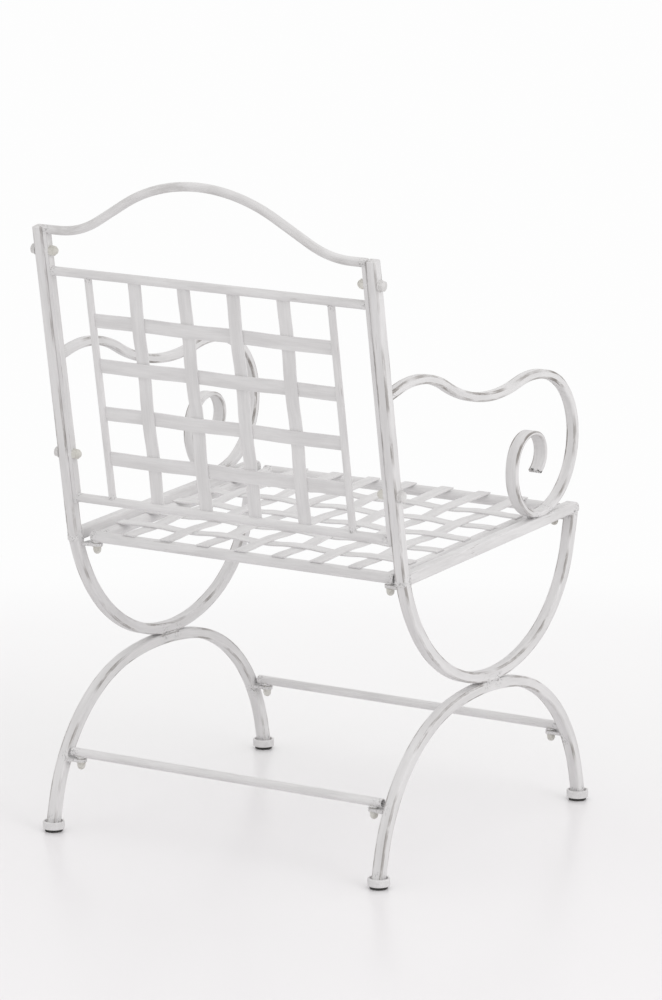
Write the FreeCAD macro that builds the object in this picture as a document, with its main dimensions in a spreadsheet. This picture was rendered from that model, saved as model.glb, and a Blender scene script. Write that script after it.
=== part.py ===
# Welded steel garden armchair: two bent side frames, a bolted back panel and a bolted woven seat.
# Millimetres. X runs across the chair, the chair faces -Y, Z is up, and the origin is on the floor
# under the middle of the chair's whole depth, which lies behind the middle of its feet.
# Left is +X, the left hand of a person who sits in the chair.
import FreeCAD, Part
import math
import os
import Sketcher
from FreeCAD import Placement, Rotation, Vector

SIZES = {
    # middle of the feet, measured from the middle of the whole depth
    "feet_middle": -11.2,
    # square bar of the side frames
    "side_plane": 268.7,
    "bar_width": 16.0,
    "bar_depth": 15.5,
    "bar_edge": 2.5,
    # back post that bends under the seat and rises again at the front
    "post_top_along": 418.4,
    "post_run": 432.2,
    "back_bend_radius": 239.6,
    "back_bend_turn": 60.11,
    "belly_bend_radius": 250.5,
    "belly_bend_turn": 47.08,
    "front_bend_radius": 182.2,
    "front_bend_turn": 50.0,
    "upright_run": 60.0,
    # arch that makes the two legs of a side
    "arch_top": 222.7,
    "arch_crown_radius": 448.5,
    "arch_crown_turn": 10.2,
    "arch_shoulder_radius": 231.1,
    "arch_shoulder_turn": 67.12,
    "leg_run": 60.0,
    # seat bar of a side frame
    "seat_bar_depth": 16.0,
    "seat_bar_bottom": 416.1,
    "seat_bar_fall": 2.41,
    "seat_bar_front": 253.0,
    "seat_bar_rear": 217.5,
    "seat_bar_nose": 11.0,
    "seat_bar_chin": 3.0,
    # armrest and its scroll
    "arm_width": 14.0,
    "arm_depth": 13.0,
    "arm_edge": 3.0,
    "arm_start_y": 254.6,
    "arm_start_z": 672.8,
    "arm_start_rise": 13.47,
    "arm_lead": 31.2,
    "arm_rear_radius": 172.6,
    "arm_rear_turn": 41.8,
    "arm_dip_radius": 276.5,
    "arm_dip_turn": 41.3,
    "arm_crest_radius": 161.8,
    "arm_crest_turn": 31.5,
    "arm_front_radius": 98.0,
    "arm_front_turn": 164.7,
    "arm_foot_radius": 67.8,
    "arm_foot_turn": 104.0,
    "scroll_radius": 42.9,
    "scroll_turn": 89.75,
    "curl_radius": 30.5,
    "curl_turn": 133.2,
    # section at the curl's end, where the arm is forged flat
    "curl_width": 20.5,
    "curl_depth": 5.5,
    "curl_edge": 2.0,
    # feet
    "foot_radius": 15.5,
    "foot_bottom": 4.0,
    "foot_top": 15.0,
    "foot_floor": 12.0,
    "foot_well_radius": 12.5,
    "foot_round": 1.6,
    "foot_lip": 0.8,
    "glide_radius": 12.4,
    "glide_gap": 0.2,
    "glide_height": 7.0,
    "glide_round": 1.0,
    # back panel
    "back_rake": 9.77,
    "back_base_y": 217.0,
    "back_base_z": 450.2,
    "stile_inner": 254.3,
    "stile_width": 6.0,
    "stile_depth": 12.0,
    "stile_foot": 15.0,
    "stile_edge": 1.0,
    "boss_radius": 6.8,
    "crest_end": 260.3,
    "crest_level": 414.3,
    "crest_peak": 496.2,
    "crest_radius": 6.35,
    "crest_hollow_radius": 124.9,
    "crest_crown_radius": 235.4,
    "crest_turn": 31.1,
    "rail_upper": 354.7,
    "rail_lower": 21.9,
    "rod_place": 196.7,
    "rod_radius": 5.2,
    "bolt_upper": 384.0,
    "bolt_lower": 86.8,
    # round tube and flat strip
    "tube_radius": 6.35,
    "tube_bore": 4.85,
    "strip_width": 20.0,
    "strip_thick": 2.0,
    "weave_gap": 0.1,
    "weave_flat": 24.0,
    "back_strip_inner": 40.1,
    "back_strip_outer": 120.4,
    "back_cross_top": 288.4,
    "back_cross_second": 222.8,
    "back_cross_third": 153.0,
    "back_cross_low": 86.8,
    # seat panel, in a plane that falls towards the back
    "seat_tube_radius": 8.0,
    "seat_tube_bore": 6.5,
    "seat_level": 428.8,
    "seat_fall": 2.09,
    "seat_rear": 196.5,
    "seat_front": 244.5,
    "seat_side": 238.0,
    "seat_tube_end": 248.0,
    "seat_long_pitch": 61.8,
    "seat_cross_rear": 140.0,
    "seat_cross_pitch": 71.3,
    "strip_lap": 4.0,
    # lugs, studs and nuts
    "lug_thick": 4.0,
    "lug_round": 8.0,
    "lug_run_out": 2.0,
    "lug_flare": 3.0,
    "seat_stud_x": 241.0,
    "rear_lug_top": 404.0,
    "front_lug_top": 420.0,
    "stretcher_rear": 110.0,
    "stretcher_front": 113.7,
    "stretcher_place": 239.0,
    "stretcher_end": 256.0,
    "stretcher_stud_x": 242.0,
    "stretcher_lug_gap": 2.0,
    "stud_collar": 5.5,
    "stud_radius": 3.0,
    "hole_radius": 3.2,
    "washer_radius": 7.0,
    "washer_thick": 1.2,
    "nut_corner": 6.35,
    "nut_flat_height": 5.0,
    "nut_dome": 5.3,
    "nut_height": 10.5,
    "thread_depth": 7.0,
    # bolts of the back panel: hexagonal heads with a flange outside, cap nuts inside
    "bolt_radius": 4.0,
    "bolt_hole": 4.2,
    "bolt_corner": 7.5,
    "bolt_head": 7.2,
    "bolt_chamfer": 0.8,
    "bolt_chamfer_radius": 6.3,
    "flange_radius": 8.3,
    "flange_thick": 1.6,
    "back_nut_corner": 7.5,
    "back_nut_flat_height": 6.5,
    "back_nut_dome": 6.0,
    "back_nut_height": 12.0,
}

doc = FreeCAD.newDocument("garden_armchair")
sheet = doc.addObject("Spreadsheet::Sheet", "Sizes")
for row, (alias, value) in enumerate(SIZES.items(), start=1):
    sheet.set("A%d" % row, alias)
    sheet.set("B%d" % row, str(value))
    sheet.setAlias("B%d" % row, alias)
doc.recompute()

nodes = []
SIDES = {"left": 1, "right": -1}


def size(alias):
    """Read one driving size from the sheet."""
    return float(sheet.get(alias))


def bind(thing, **cells):
    """Bind properties of an object to cells, or to sums of cells, of the sheet."""
    for prop, text in cells.items():
        words = [("Sizes." + word) if word in SIZES else word for word in text.split()]
        thing.setExpression(prop, " ".join(words))


def node(thing, label):
    """Keep an object as a named sub-part."""
    thing.Label = label
    nodes.append(thing)
    return thing


# Frames of reference. The feet frame stands on the floor between the feet: all places are drawn in it.
# The back panel leans in it: x runs across, y climbs the back and z points to the front.
# The seat panel falls to the rear in it: x runs across, y runs to the rear and z points up.
def moved(x, y, z):
    return Placement(Vector(x, y, z), Rotation())


rake = math.radians(size("back_rake"))
feet_frame = moved(0, size("feet_middle"), 0)
back_frame = feet_frame.multiply(Placement(Vector(0, size("back_base_y"), size("back_base_z")),
                                           Rotation(Vector(1, 0, 0), 90 - size("back_rake"))))
seat_frame = feet_frame.multiply(Placement(Vector(0, 0, size("seat_level")),
                                           Rotation(Vector(1, 0, 0), -size("seat_fall"))))


# Sketch geometry
def trace(start, heading, runs, offset=0.0):
    """Follow straight runs (length,) and arcs (radius, turn) from a point; return edges and the end."""
    point, angle, edges = Vector(start[0], start[1], 0), math.radians(heading), []
    for run in runs:
        along = Vector(math.cos(angle), math.sin(angle), 0)
        left = Vector(-along.y, along.x, 0)
        if len(run) == 1:
            ahead = point + along * run[0]
            edges.append(Part.LineSegment(point + left * offset, ahead + left * offset))
            point = ahead
            continue
        radius, turn = run[0], math.radians(run[1])
        side = math.copysign(1.0, turn)
        centre = point + left * (side * radius)
        first = angle - side * math.pi / 2
        last = first + turn
        circle = Part.Circle(centre, Vector(0, 0, 1), radius - side * offset)
        edges.append(Part.ArcOfCircle(circle, min(first, last), max(first, last)))
        angle += turn
        point = centre + Vector(math.cos(last), math.sin(last), 0) * radius
    return edges, point


def rounded(corners):
    """Closed outline through corners (x, y, radius), each rounded by a tangent arc."""
    points = [Vector(c[0], c[1], 0) for c in corners]
    starts, ends, arcs = [], [], []
    for i, corner in enumerate(corners):
        here, before, after = points[i], points[i - 1], points[(i + 1) % len(points)]
        radius = corner[2] if len(corner) > 2 else 0.0
        into, out = (before - here).normalize(), (after - here).normalize()
        half = math.acos(max(-1.0, min(1.0, into.dot(out)))) / 2
        cut = radius / math.tan(half) if radius else 0.0
        starts.append(here + into * cut)
        ends.append(here + out * cut)
        arcs.append(None)
        if radius:
            centre = here + (into + out).normalize() * (radius / math.sin(half))
            middle = centre + (here - centre).normalize() * radius
            arcs[-1] = Part.Arc(starts[-1], middle, ends[-1])
    edges = []
    for i in range(len(points)):
        if arcs[i]:
            edges.append(arcs[i])
        following = starts[(i + 1) % len(points)]
        if (following - ends[i]).Length > 1e-6:
            edges.append(Part.LineSegment(ends[i], following))
    return edges


def box_corners(low_x, low_y, high_x, high_y, radius=0.0):
    """Corners of a rectangle, all rounded alike."""
    return [(low_x, low_y, radius), (high_x, low_y, radius), (high_x, high_y, radius),
            (low_x, high_y, radius)]


def new_body(name, placement=Placement()):
    body = doc.addObject("PartDesign::Body", name)
    body.Placement = placement
    return body


def new_sketch(body, name, role, edges, offset=Placement()):
    """Sketch on one of the body's own origin planes."""
    sketch = body.newObject("Sketcher::SketchObject", name)
    plane = next(f for f in body.Origin.OriginFeatures if f.Role == role)
    sketch.AttachmentSupport = [(plane, "")]
    sketch.MapMode = "FlatFace"
    sketch.AttachmentOffset = offset
    sketch.addGeometry(edges, False)
    return sketch


def bar_section(body, width, depth, edge, role, offset):
    """Rectangle with rounded edges about the sketch's origin, held by constraints on the sheet."""
    half_x, half_y, radius = size(width) / 2, size(depth) / 2, size(edge)
    outline = rounded(box_corners(-half_x, -half_y, half_x, half_y, radius))
    sketch = new_sketch(body, "Section", role, outline, offset)
    count = len(outline)
    arcs, lines = range(0, count, 2), range(1, count, 2)
    for i in range(count):
        sketch.addConstraint(Sketcher.Constraint("Tangent", i, 2, (i + 1) % count, 1))
    for line, way in zip(lines, ("Horizontal", "Vertical", "Horizontal", "Vertical")):
        sketch.addConstraint(Sketcher.Constraint(way, line))
    for arc in arcs[1:]:
        sketch.addConstraint(Sketcher.Constraint("Equal", arcs[0], arc))
    sketch.addConstraint(Sketcher.Constraint("Symmetric", arcs[0], 3, arcs[2], 3, -1, 1))
    for kind, where, value, cell in (
            ("DistanceX", (lines[3], 1, lines[1], 1), 2 * half_x, width),
            ("DistanceY", (lines[0], 1, lines[2], 1), 2 * half_y, depth),
            ("Radius", (arcs[0],), radius, edge)):
        index = sketch.addConstraint(Sketcher.Constraint(kind, *where, value))
        sketch.setExpression("Constraints[%d]" % index, "Sizes." + cell)
    return sketch


def sweep(body, section, path):
    pipe = body.newObject("PartDesign::AdditivePipe", "Sweep")
    pipe.Profile = section
    pipe.Spine = path
    return pipe


def pad(body, sketch, length, symmetric=False):
    feature = body.newObject("PartDesign::Pad", "Pad")
    feature.Profile = sketch
    bind(feature, Length=length)
    if symmetric:
        feature.SideType = "Symmetric"
    return feature


def bore(body, sketch):
    """Cut a sketch right through the body, both ways."""
    feature = body.newObject("PartDesign::Pocket", "Bore")
    feature.Profile = sketch
    feature.SideType = "Symmetric"
    feature.Type = "ThroughAll"
    return feature


def circles(radius, *centres):
    return [Part.Circle(Vector(x, y, 0), Vector(0, 0, 1), size(radius)) for x, y in centres]


def turned(name, corners, placement=Placement()):
    """Solid of revolution about the body's Z axis; corners are (radius, height, rounding)."""
    body = new_body(name, placement)
    sketch = new_sketch(body, "Outline", "XZ_Plane", rounded(corners))
    turn = body.newObject("PartDesign::Revolution", "Turn")
    turn.Profile = sketch
    turn.ReferenceAxis = (sketch, ["V_Axis"])
    turn.Angle = 360
    return body


def cut(name, base, *tools):
    """Cut one or more solids from a base solid."""
    for tool in tools:
        piece = doc.addObject("Part::Cut", name)
        piece.Base, piece.Tool = base, tool
        base = piece
    return base


def cylinder(name, radius, length, placement):
    solid = doc.addObject("Part::Cylinder", name)
    bind(solid, Radius=radius, Height=length)
    solid.Placement = placement
    return solid


def group(label, solids):
    """One sub-part made of separate like solids."""
    compound = doc.addObject("Part::Compound", label)
    compound.Links = solids
    return node(compound, label)


def round_tube(label, length, placement, prefix=""):
    """Open round tube along the placement's Z axis; also gives its outer cylinder, to cope others."""
    outer = cylinder(label + "_outer", prefix + "tube_radius", length, placement)
    inner = cylinder(label + "_bore", prefix + "tube_bore", length, placement)
    return cut(label, outer, inner), outer


def across(frame, x, y, z):
    """Placement in a frame whose Z axis runs along X, for things that lie across the chair."""
    return frame.multiply(Placement(Vector(x, y, z), Rotation(Vector(0, 1, 0), 90)))


# Side frames
def bent_bar(name, side, start, heading, runs, kind="bar"):
    """Bar bent in a plane across X: section carried along straight runs and tangent arcs."""
    body = new_body(name, feet_frame.multiply(moved(side * size("side_plane"), 0, 0)))
    path = new_sketch(body, "Path", "YZ_Plane", trace(start, heading, runs)[0])
    tilt = Placement(Vector(0, start[0], start[1]), Rotation(Vector(1, 0, 0), heading - 90))
    sweep(body, bar_section(body, kind + "_width", kind + "_depth", kind + "_edge", "XY_Plane", tilt), path)
    return body


def on_back(along):
    """Point of the back plane in (y, z), a distance up from its base."""
    return (size("back_base_y") + along * math.sin(rake), size("back_base_z") + along * math.cos(rake))


def make_post(name, side):
    runs = [(size("post_run"),), (size("back_bend_radius"), -size("back_bend_turn")),
            (size("belly_bend_radius"), -size("belly_bend_turn")),
            (size("front_bend_radius"), -size("front_bend_turn")), (size("upright_run"),)]
    body = bent_bar(name, side, on_back(size("post_top_along")), -90 - size("back_rake"), runs)
    holes = circles("bolt_hole", on_back(size("bolt_upper")), on_back(size("bolt_lower")))
    bore(body, new_sketch(body, "BoltHoles", "YZ_Plane", holes))
    return body


def make_arch(name, side):
    half = [(size("arch_crown_radius"), -size("arch_crown_turn")),
            (size("arch_shoulder_radius"), -size("arch_shoulder_turn")), (size("leg_run"),)]
    foot = trace((0, size("arch_top")), 0, half)[1]
    slope = size("arch_crown_turn") + size("arch_shoulder_turn")
    crown = (size("arch_crown_radius"), -2 * size("arch_crown_turn"))
    runs = [half[2], half[1], crown, half[1], half[2]]
    return bent_bar(name, side, (-foot.x, foot.y), slope, runs)


def foot_place():
    """Distance of a foot's middle from the chair's middle, where the leg enters the cup."""
    half = [(size("arch_crown_radius"), -size("arch_crown_turn")),
            (size("arch_shoulder_radius"), -size("arch_shoulder_turn"))]
    knee = trace((0, size("arch_top")), 0, half)[1]
    slope = math.radians(size("arch_crown_turn") + size("arch_shoulder_turn"))
    height = (size("foot_floor") + size("foot_top")) / 2
    return knee.x + (knee.y - height) / math.tan(slope)


def make_arm(name, side):
    """Even bar to the front of the arm, then a loop and curl forged ever flatter and wider."""
    even = [(size("arm_lead"),), (size("arm_rear_radius"), size("arm_rear_turn")),
            (size("arm_dip_radius"), -size("arm_dip_turn")),
            (size("arm_crest_radius"), size("arm_crest_turn"))]
    forged = [(size("arm_front_radius"), size("arm_front_turn")),
              (size("arm_foot_radius"), size("arm_foot_turn")),
              (size("scroll_radius"), size("scroll_turn")), (size("curl_radius"), size("curl_turn"))]
    start, heading = (size("arm_start_y"), size("arm_start_z")), 180 - size("arm_start_rise")
    body = bent_bar(name, side, start, heading, even, "arm")
    front, ahead = trace(start, heading, even)[1], heading + sum(run[1] for run in even[1:])
    edges, tip = trace((front.x, front.y), ahead, forged)
    path = new_sketch(body, "ForgedPath", "YZ_Plane", edges)
    sections = []
    for kind, at, angle in (("arm", front, ahead), ("curl", tip, ahead + sum(run[1] for run in forged))):
        tilt = Placement(Vector(0, at.x, at.y), Rotation(Vector(1, 0, 0), angle - 90))
        sections.append(bar_section(body, kind + "_width", kind + "_depth", kind + "_edge", "XY_Plane", tilt))
    pipe = sweep(body, sections[0], path)
    pipe.Transformation = "Multisection"
    pipe.Sections = [(sections[1], [""])]
    return body


def make_seat_bar(name, side):
    """Square bar that falls to the rear: a rounded section, common with an outline with a front nose."""
    front, rear, deep = -size("seat_bar_front"), size("seat_bar_rear"), size("seat_bar_depth")
    fall = feet_frame.multiply(Placement(Vector(side * size("side_plane"), 0, size("seat_bar_bottom")),
                                         Rotation(Vector(1, 0, 0), -size("seat_bar_fall"))))
    bar = new_body(name + "_bar", fall)
    at_rear = moved(0, deep / 2, -rear)
    section = bar_section(bar, "bar_width", "seat_bar_depth", "bar_edge", "XZ_Plane", at_rear)
    pad(bar, section, "seat_bar_front + seat_bar_rear")
    nose = new_body(name + "_nose", fall)
    outline = rounded([(front, 0, size("seat_bar_chin")), (rear, 0), (rear, deep),
                       (front, deep, size("seat_bar_nose"))])
    pad(nose, new_sketch(nose, "Outline", "YZ_Plane", outline), "bar_width", symmetric=True)
    shaped = doc.addObject("Part::Common", name)
    shaped.Base, shaped.Tool = bar, nose
    return shaped, fall


def make_foot(name, x, y):
    """Turned cup: a well in its top takes the leg and a well in its underside takes the glide."""
    low, high, well = size("foot_bottom"), size("foot_top"), size("foot_floor")
    out, hollow, edge = size("foot_radius"), size("foot_well_radius"), size("foot_round")
    socket, seat = size("glide_radius") + size("glide_gap"), size("glide_height")
    corners = [(0, seat), (socket, seat), (socket, low), (out, low, edge), (out, high, edge),
               (hollow, high, size("foot_lip")), (hollow, well), (0, well)]
    return turned(name, corners, feet_frame.multiply(moved(x, y, 0)))


def make_glide(name, x, y):
    top, out = size("glide_height"), size("glide_radius")
    corners = [(0, 0), (out, 0, size("glide_round")), (out, top), (0, top)]
    return turned(name, corners, feet_frame.multiply(moved(x, y, 0)))


def make_stile(name, side):
    """Flat bar inside a post, with a round boss at each bolt that spaces it off the post."""
    body = new_body(name, back_frame)
    half, foot, head = size("stile_depth") / 2, size("stile_foot"), size("crest_level")
    inner, wide = size("stile_inner"), size("stile_width")
    flat_start = inner if side > 0 else -inner - wide
    reach = size("side_plane") - size("bar_width") / 2
    boss_start = inner if side > 0 else -reach
    outline = rounded(box_corners(foot, -half, head, half, size("stile_edge")))
    face = new_sketch(body, "Outline", "YZ_Plane", outline, moved(0, 0, flat_start))
    pad(body, face, "stile_width")
    places = [(size("bolt_upper"), 0), (size("bolt_lower"), 0)]
    bosses = new_sketch(body, "Bosses", "YZ_Plane", circles("boss_radius", *places),
                        moved(0, 0, boss_start))
    pad(body, bosses, "side_plane - bar_width / 2 - stile_inner")
    bore(body, new_sketch(body, "BoltHoles", "YZ_Plane", circles("bolt_hole", *places)))
    return body


def make_crest(name):
    """Top rail of the back: level ends, a hollow curve, a straight rise and one crown arc."""
    turn = math.radians(size("crest_turn"))
    radii = size("crest_hollow_radius") + size("crest_crown_radius")
    rise = size("crest_peak") - size("crest_level")
    slope = (rise - radii * (1 - math.cos(turn))) / math.sin(turn)
    lead = size("crest_end") - radii * math.sin(turn) - slope * math.cos(turn)
    hollow = (size("crest_hollow_radius"), size("crest_turn"))
    crown = (size("crest_crown_radius"), -2 * size("crest_turn"))
    runs = [(lead,), hollow, (slope,), crown, (slope,), hollow, (lead,)]
    body = new_body(name, back_frame)
    start = (-size("crest_end"), size("crest_level"))
    path = new_sketch(body, "Path", "XY_Plane", trace(start, 0, runs)[0])
    at_start = moved(start[1], 0, start[0])
    section = new_sketch(body, "Section", "YZ_Plane", circles("crest_radius", (0, 0)), at_start)
    index = section.addConstraint(Sketcher.Constraint("Radius", 0, size("crest_radius")))
    section.setExpression("Constraints[%d]" % index, "Sizes.crest_radius")
    sweep(body, section, path)
    return body


# Woven strips
def weave_runs(stops):
    """Runs of a strip through stops (place, level): flat at each stop, an S of two arcs between."""
    flat, runs = size("weave_flat") / 2, []

    def straight(length):
        if runs and len(runs[-1]) == 1:
            runs[-1] = (runs[-1][0] + length,)
        else:
            runs.append((length,))

    for (place, level), (after, next_level) in zip(stops, stops[1:]):
        gap, step = after - place - 2 * flat, next_level - level
        turn = 2 * math.atan2(step, gap)
        straight(flat)
        if turn:
            radius = gap / (2 * math.sin(abs(turn)))
            runs += [(radius, math.degrees(turn)), (radius, -math.degrees(turn))]
        else:
            straight(gap)
        straight(flat)
    return runs


def make_strip(label, frame, role, stops, lap=0.0):
    """Flat strip woven through stops; its ends pass the first and last stop by the lap."""
    runs, half = weave_runs(stops), size("strip_thick") / 2
    runs[0], runs[-1] = (runs[0][0] + lap,), (runs[-1][0] + lap,)
    start = (stops[0][0] - lap, 0)
    upper, end = trace(start, 0, runs, half)
    lower = trace(start, 0, runs, -half)[0]
    ends = [Part.LineSegment(Vector(x, -half, 0), Vector(x, half, 0)) for x in (start[0], end.x)]
    body = new_body(label, frame)
    pad(body, new_sketch(body, "Outline", role, upper + lower + ends), "strip_width", symmetric=True)
    return node(body, label)


def weave_panel(prefix, frame, along, over, along_ends, over_ends, first_on_top, front, lap=0.0):
    """Two sets of strips in plain weave. 'along' strips run along y, 'over' strips run along x."""
    level = front * (size("strip_thick") + size("weave_gap")) / 2
    for i, x in enumerate(along):
        crossings = [(y, level if (i + j + first_on_top) % 2 else -level) for j, y in enumerate(over)]
        stops = sorted([(along_ends[0], 0.0), (along_ends[1], 0.0)] + crossings)
        place = frame.multiply(moved(x, 0, 0))
        make_strip("%s_long_strip_%d" % (prefix, i + 1), place, "YZ_Plane", stops, lap)
    for j, y in enumerate(over):
        crossings = [(x, -level if (i + j + first_on_top) % 2 else level) for i, x in enumerate(along)]
        stops = sorted([(over_ends[0], 0.0), (over_ends[1], 0.0)] + crossings)
        place = frame.multiply(moved(0, y, 0))
        make_strip("%s_cross_strip_%d" % (prefix, j + 1), place, "XZ_Plane", stops, lap)


# Lugs and fasteners
def make_lug(name, side, end, x, y, top):
    """Flat tab welded to a bar's inner face, round at its free end, with a hole for a stud."""
    wall, round_end = size("side_plane") - size("bar_width") / 2, size("lug_round")
    run_out, flare = x + size("lug_run_out"), size("lug_flare")
    corners = [(wall, y - end * round_end), (x - round_end, y - end * round_end, round_end),
               (x - round_end, y + end * round_end, round_end), (run_out, y + end * round_end),
               (wall, y + end * (round_end + flare))]
    corners = [(side * corner[0],) + corner[1:] for corner in corners]
    body = new_body(name, feet_frame.multiply(moved(0, 0, top - size("lug_thick"))))
    edges = rounded(corners) + circles("hole_radius", (side * x, y))
    pad(body, new_sketch(body, "Outline", "XY_Plane", edges), "lug_thick")
    return body


def make_stud(name, at, tubes):
    """Threaded stud with a collar, coped to the tubes that it is welded under."""
    grip = "thread_depth + lug_thick + washer_thick + tube_radius"
    drop = size("thread_depth") + size("lug_thick") + size("washer_thick")
    shank = cylinder(name + "_shank", "stud_radius", grip, at.multiply(moved(0, 0, -drop)))
    collar = cylinder(name + "_collar", "stud_collar", "tube_radius", at)
    whole = doc.addObject("Part::Fuse", name)
    whole.Base, whole.Tool = shank, collar
    return cut(name + "_coped", whole, *tubes)


def make_washer(name, at):
    ring = cylinder(name, "washer_radius", "washer_thick", at)
    return cut(name + "_ring", ring, cylinder(name + "_hole", "hole_radius", "washer_thick", at))


def make_hexagon(name, corner, height, at):
    prism = doc.addObject("Part::Prism", name)
    prism.Polygon, prism.Placement = 6, at
    bind(prism, Circumradius=corner, Height=height)
    return prism


def make_cap_nut(name, at, kind="nut", thread="stud_radius"):
    """Hexagon with a domed cap, open end at the given place and dome along its Z axis."""
    hexagon = make_hexagon(name, kind + "_corner", kind + "_flat_height", at)
    neck = cylinder(name + "_neck", kind + "_dome", "%s_height - %s_dome" % (kind, kind), at)
    dome = doc.addObject("Part::Sphere", name + "_dome")
    bind(dome, Radius=kind + "_dome")
    dome.Angle1 = 0
    dome.Placement = at.multiply(moved(0, 0, size(kind + "_height") - size(kind + "_dome")))
    whole = doc.addObject("Part::MultiFuse", name + "_whole")
    whole.Shapes = [hexagon, neck, dome]
    return cut(name + "_tapped", whole, cylinder(name + "_thread", thread, "thread_depth", at))


def inward(side, x, along):
    """Placement on the back plane: Z points to the chair's middle, and a hexagon has a corner up."""
    turn = Rotation(Vector(0, 1, 0), -90 * side).multiply(Rotation(Vector(0, 0, 1), 30))
    return back_frame.multiply(Placement(Vector(side * x, along, 0), turn))


def make_back_bolt(name, side, along):
    """Chamfered hexagonal head and flange outside the post, shank through the post and the stile."""
    head, corner, shank = size("bolt_head"), size("bolt_corner"), size("bolt_radius")
    face = size("side_plane") + size("bar_width") / 2
    length = head + face - size("stile_inner") + size("thread_depth")
    at, flange = inward(side, face + head, along), size("flange_radius")
    under = head - size("flange_thick")
    blank = turned(name + "_chamfer", [(0, 0), (size("bolt_chamfer_radius"), 0),
                                       (corner, size("bolt_chamfer")), (corner, head), (0, head)], at)
    shaped = doc.addObject("Part::Common", name + "_head")
    shaped.Base, shaped.Tool = make_hexagon(name + "_hexagon", "bolt_corner", "bolt_head", at), blank
    shaft = turned(name + "_shaft", [(0, under), (flange, under), (flange, head), (shank, head),
                                     (shank, length), (0, length)], at)
    whole = doc.addObject("Part::MultiFuse", name)
    whole.Shapes = [shaped, shaft]
    return whole


# Assembly
def box(name, corner, spans, placement):
    solid = doc.addObject("Part::Box", name)
    solid.Length, solid.Width, solid.Height = spans
    solid.Placement = placement.multiply(moved(*corner))
    return solid


def build_side(word, side):
    """Post, seat bar, arm, arch, feet and glides of one side, coped to one another."""
    seat_bar, fall = make_seat_bar(word + "_seat_bar_blank", side)
    front, wide = size("seat_bar_front"), size("bar_width")
    trim = box(word + "_upright_trim", (-wide, -front - wide, 0), (2 * wide, front / 2, 4 * wide),
               fall)
    post = cut(word + "_post_trimmed", make_post(word + "_post_blank", side), trim)
    seat_bar = cut(word + "_seat_bar_coped", seat_bar, post)
    arm = cut(word + "_arm_coped", make_arm(word + "_arm_blank", side), post, seat_bar)
    foot_x, foot_y, floor = side * size("side_plane"), foot_place(), size("foot_floor")
    ground = box(word + "_ground", (foot_x - wide, -2 * foot_y, -4 * wide),
                 (2 * wide, 4 * foot_y, 4 * wide + floor), feet_frame)
    arch = cut(word + "_arch_coped", make_arch(word + "_arch_blank", side), ground, post)
    node(post, word + "_post_and_belly_bar")
    node(seat_bar, word + "_seat_bar")
    node(arm, word + "_arm_scroll")
    node(arch, word + "_leg_arch")
    for end, y in (("rear", foot_y), ("front", -foot_y)):
        node(make_foot("%s_%s_foot" % (end, word), foot_x, y), "%s_%s_foot_cup" % (end, word))
        node(make_glide("%s_%s_pad" % (end, word), foot_x, y), "%s_%s_foot_glide" % (end, word))


def build_back():
    """Bolted back panel: crest, two stiles, two rails, two rods and the woven strips."""
    crest = node(make_crest("crest_rail"), "crest_rail")
    for word, side in SIDES.items():
        node(cut(word + "_stile_coped", make_stile(word + "_stile", side), crest), word + "_back_stile")
    rails = {}
    for word in ("upper", "lower"):
        place = across(back_frame, -size("stile_inner"), size("rail_" + word), 0)
        rail, rails[word] = round_tube(word + "_rail", "2 * stile_inner", place)
        node(rail, word + "_back_rail")
    for word, side in SIDES.items():
        up = Placement(Vector(side * size("rod_place"), size("rail_lower"), 0),
                       Rotation(Vector(1, 0, 0), -90))
        rod = cylinder(word + "_rod", "rod_radius", "rail_upper - rail_lower", back_frame.multiply(up))
        node(cut(word + "_rod_coped", rod, rails["upper"], rails["lower"]), word + "_back_rod")
    reach = size("rod_place") - size("rod_radius")
    inner, outer = size("back_strip_inner"), size("back_strip_outer")
    weave_panel("back", back_frame, [outer, inner, -inner, -outer],
                [size("back_cross_" + word) for word in ("top", "second", "third", "low")],
                (size("rail_lower") + size("tube_radius"), size("rail_upper") - size("tube_radius")),
                (-reach, reach), 1, -1)


def build_seat():
    """Bolted seat panel: four round tubes with the woven strips on them. Gives the outer tubes."""
    drop = -size("strip_thick") / 2 - size("seat_tube_radius")
    ends = {"rear": size("seat_rear"), "front": -size("seat_front")}
    outers = {}
    for word, y in ends.items():
        place = across(seat_frame, -size("seat_tube_end"), y, drop)
        tube, outers[word] = round_tube(word + "_tube", "2 * seat_tube_end", place, "seat_")
        node(tube, word + "_seat_tube")
    for word, side in SIDES.items():
        along = Placement(Vector(side * size("seat_side"), -size("seat_front"), drop),
                          Rotation(Vector(1, 0, 0), -90))
        place = seat_frame.multiply(along)
        tube, outers[word] = round_tube(word + "_tube", "seat_front + seat_rear", place, "seat_")
        node(cut(word + "_tube_coped", tube, outers["rear"], outers["front"]), word + "_seat_tube")
    long_places = [size("seat_long_pitch") * step for step in (3, 2, 1, 0, -1, -2, -3)]
    cross_places = [size("seat_cross_rear") - size("seat_cross_pitch") * step for step in range(5)]
    weave_panel("seat", seat_frame, long_places, cross_places, (ends["front"], ends["rear"]),
                (-size("seat_side"), size("seat_side")), 0, 1, size("strip_lap"))
    return outers


def build_lower():
    """The two round stretchers between the leg arches. Gives their outer cylinders."""
    outers = {}
    for word, end in (("rear", 1), ("front", -1)):
        place = across(feet_frame, -size("stretcher_end"), end * size("stretcher_place"),
                       size("stretcher_" + word))
        tube, outers[word] = round_tube(word + "_stretcher_tube", "2 * stretcher_end", place)
        node(tube, word + "_stretcher")
    return outers


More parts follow.
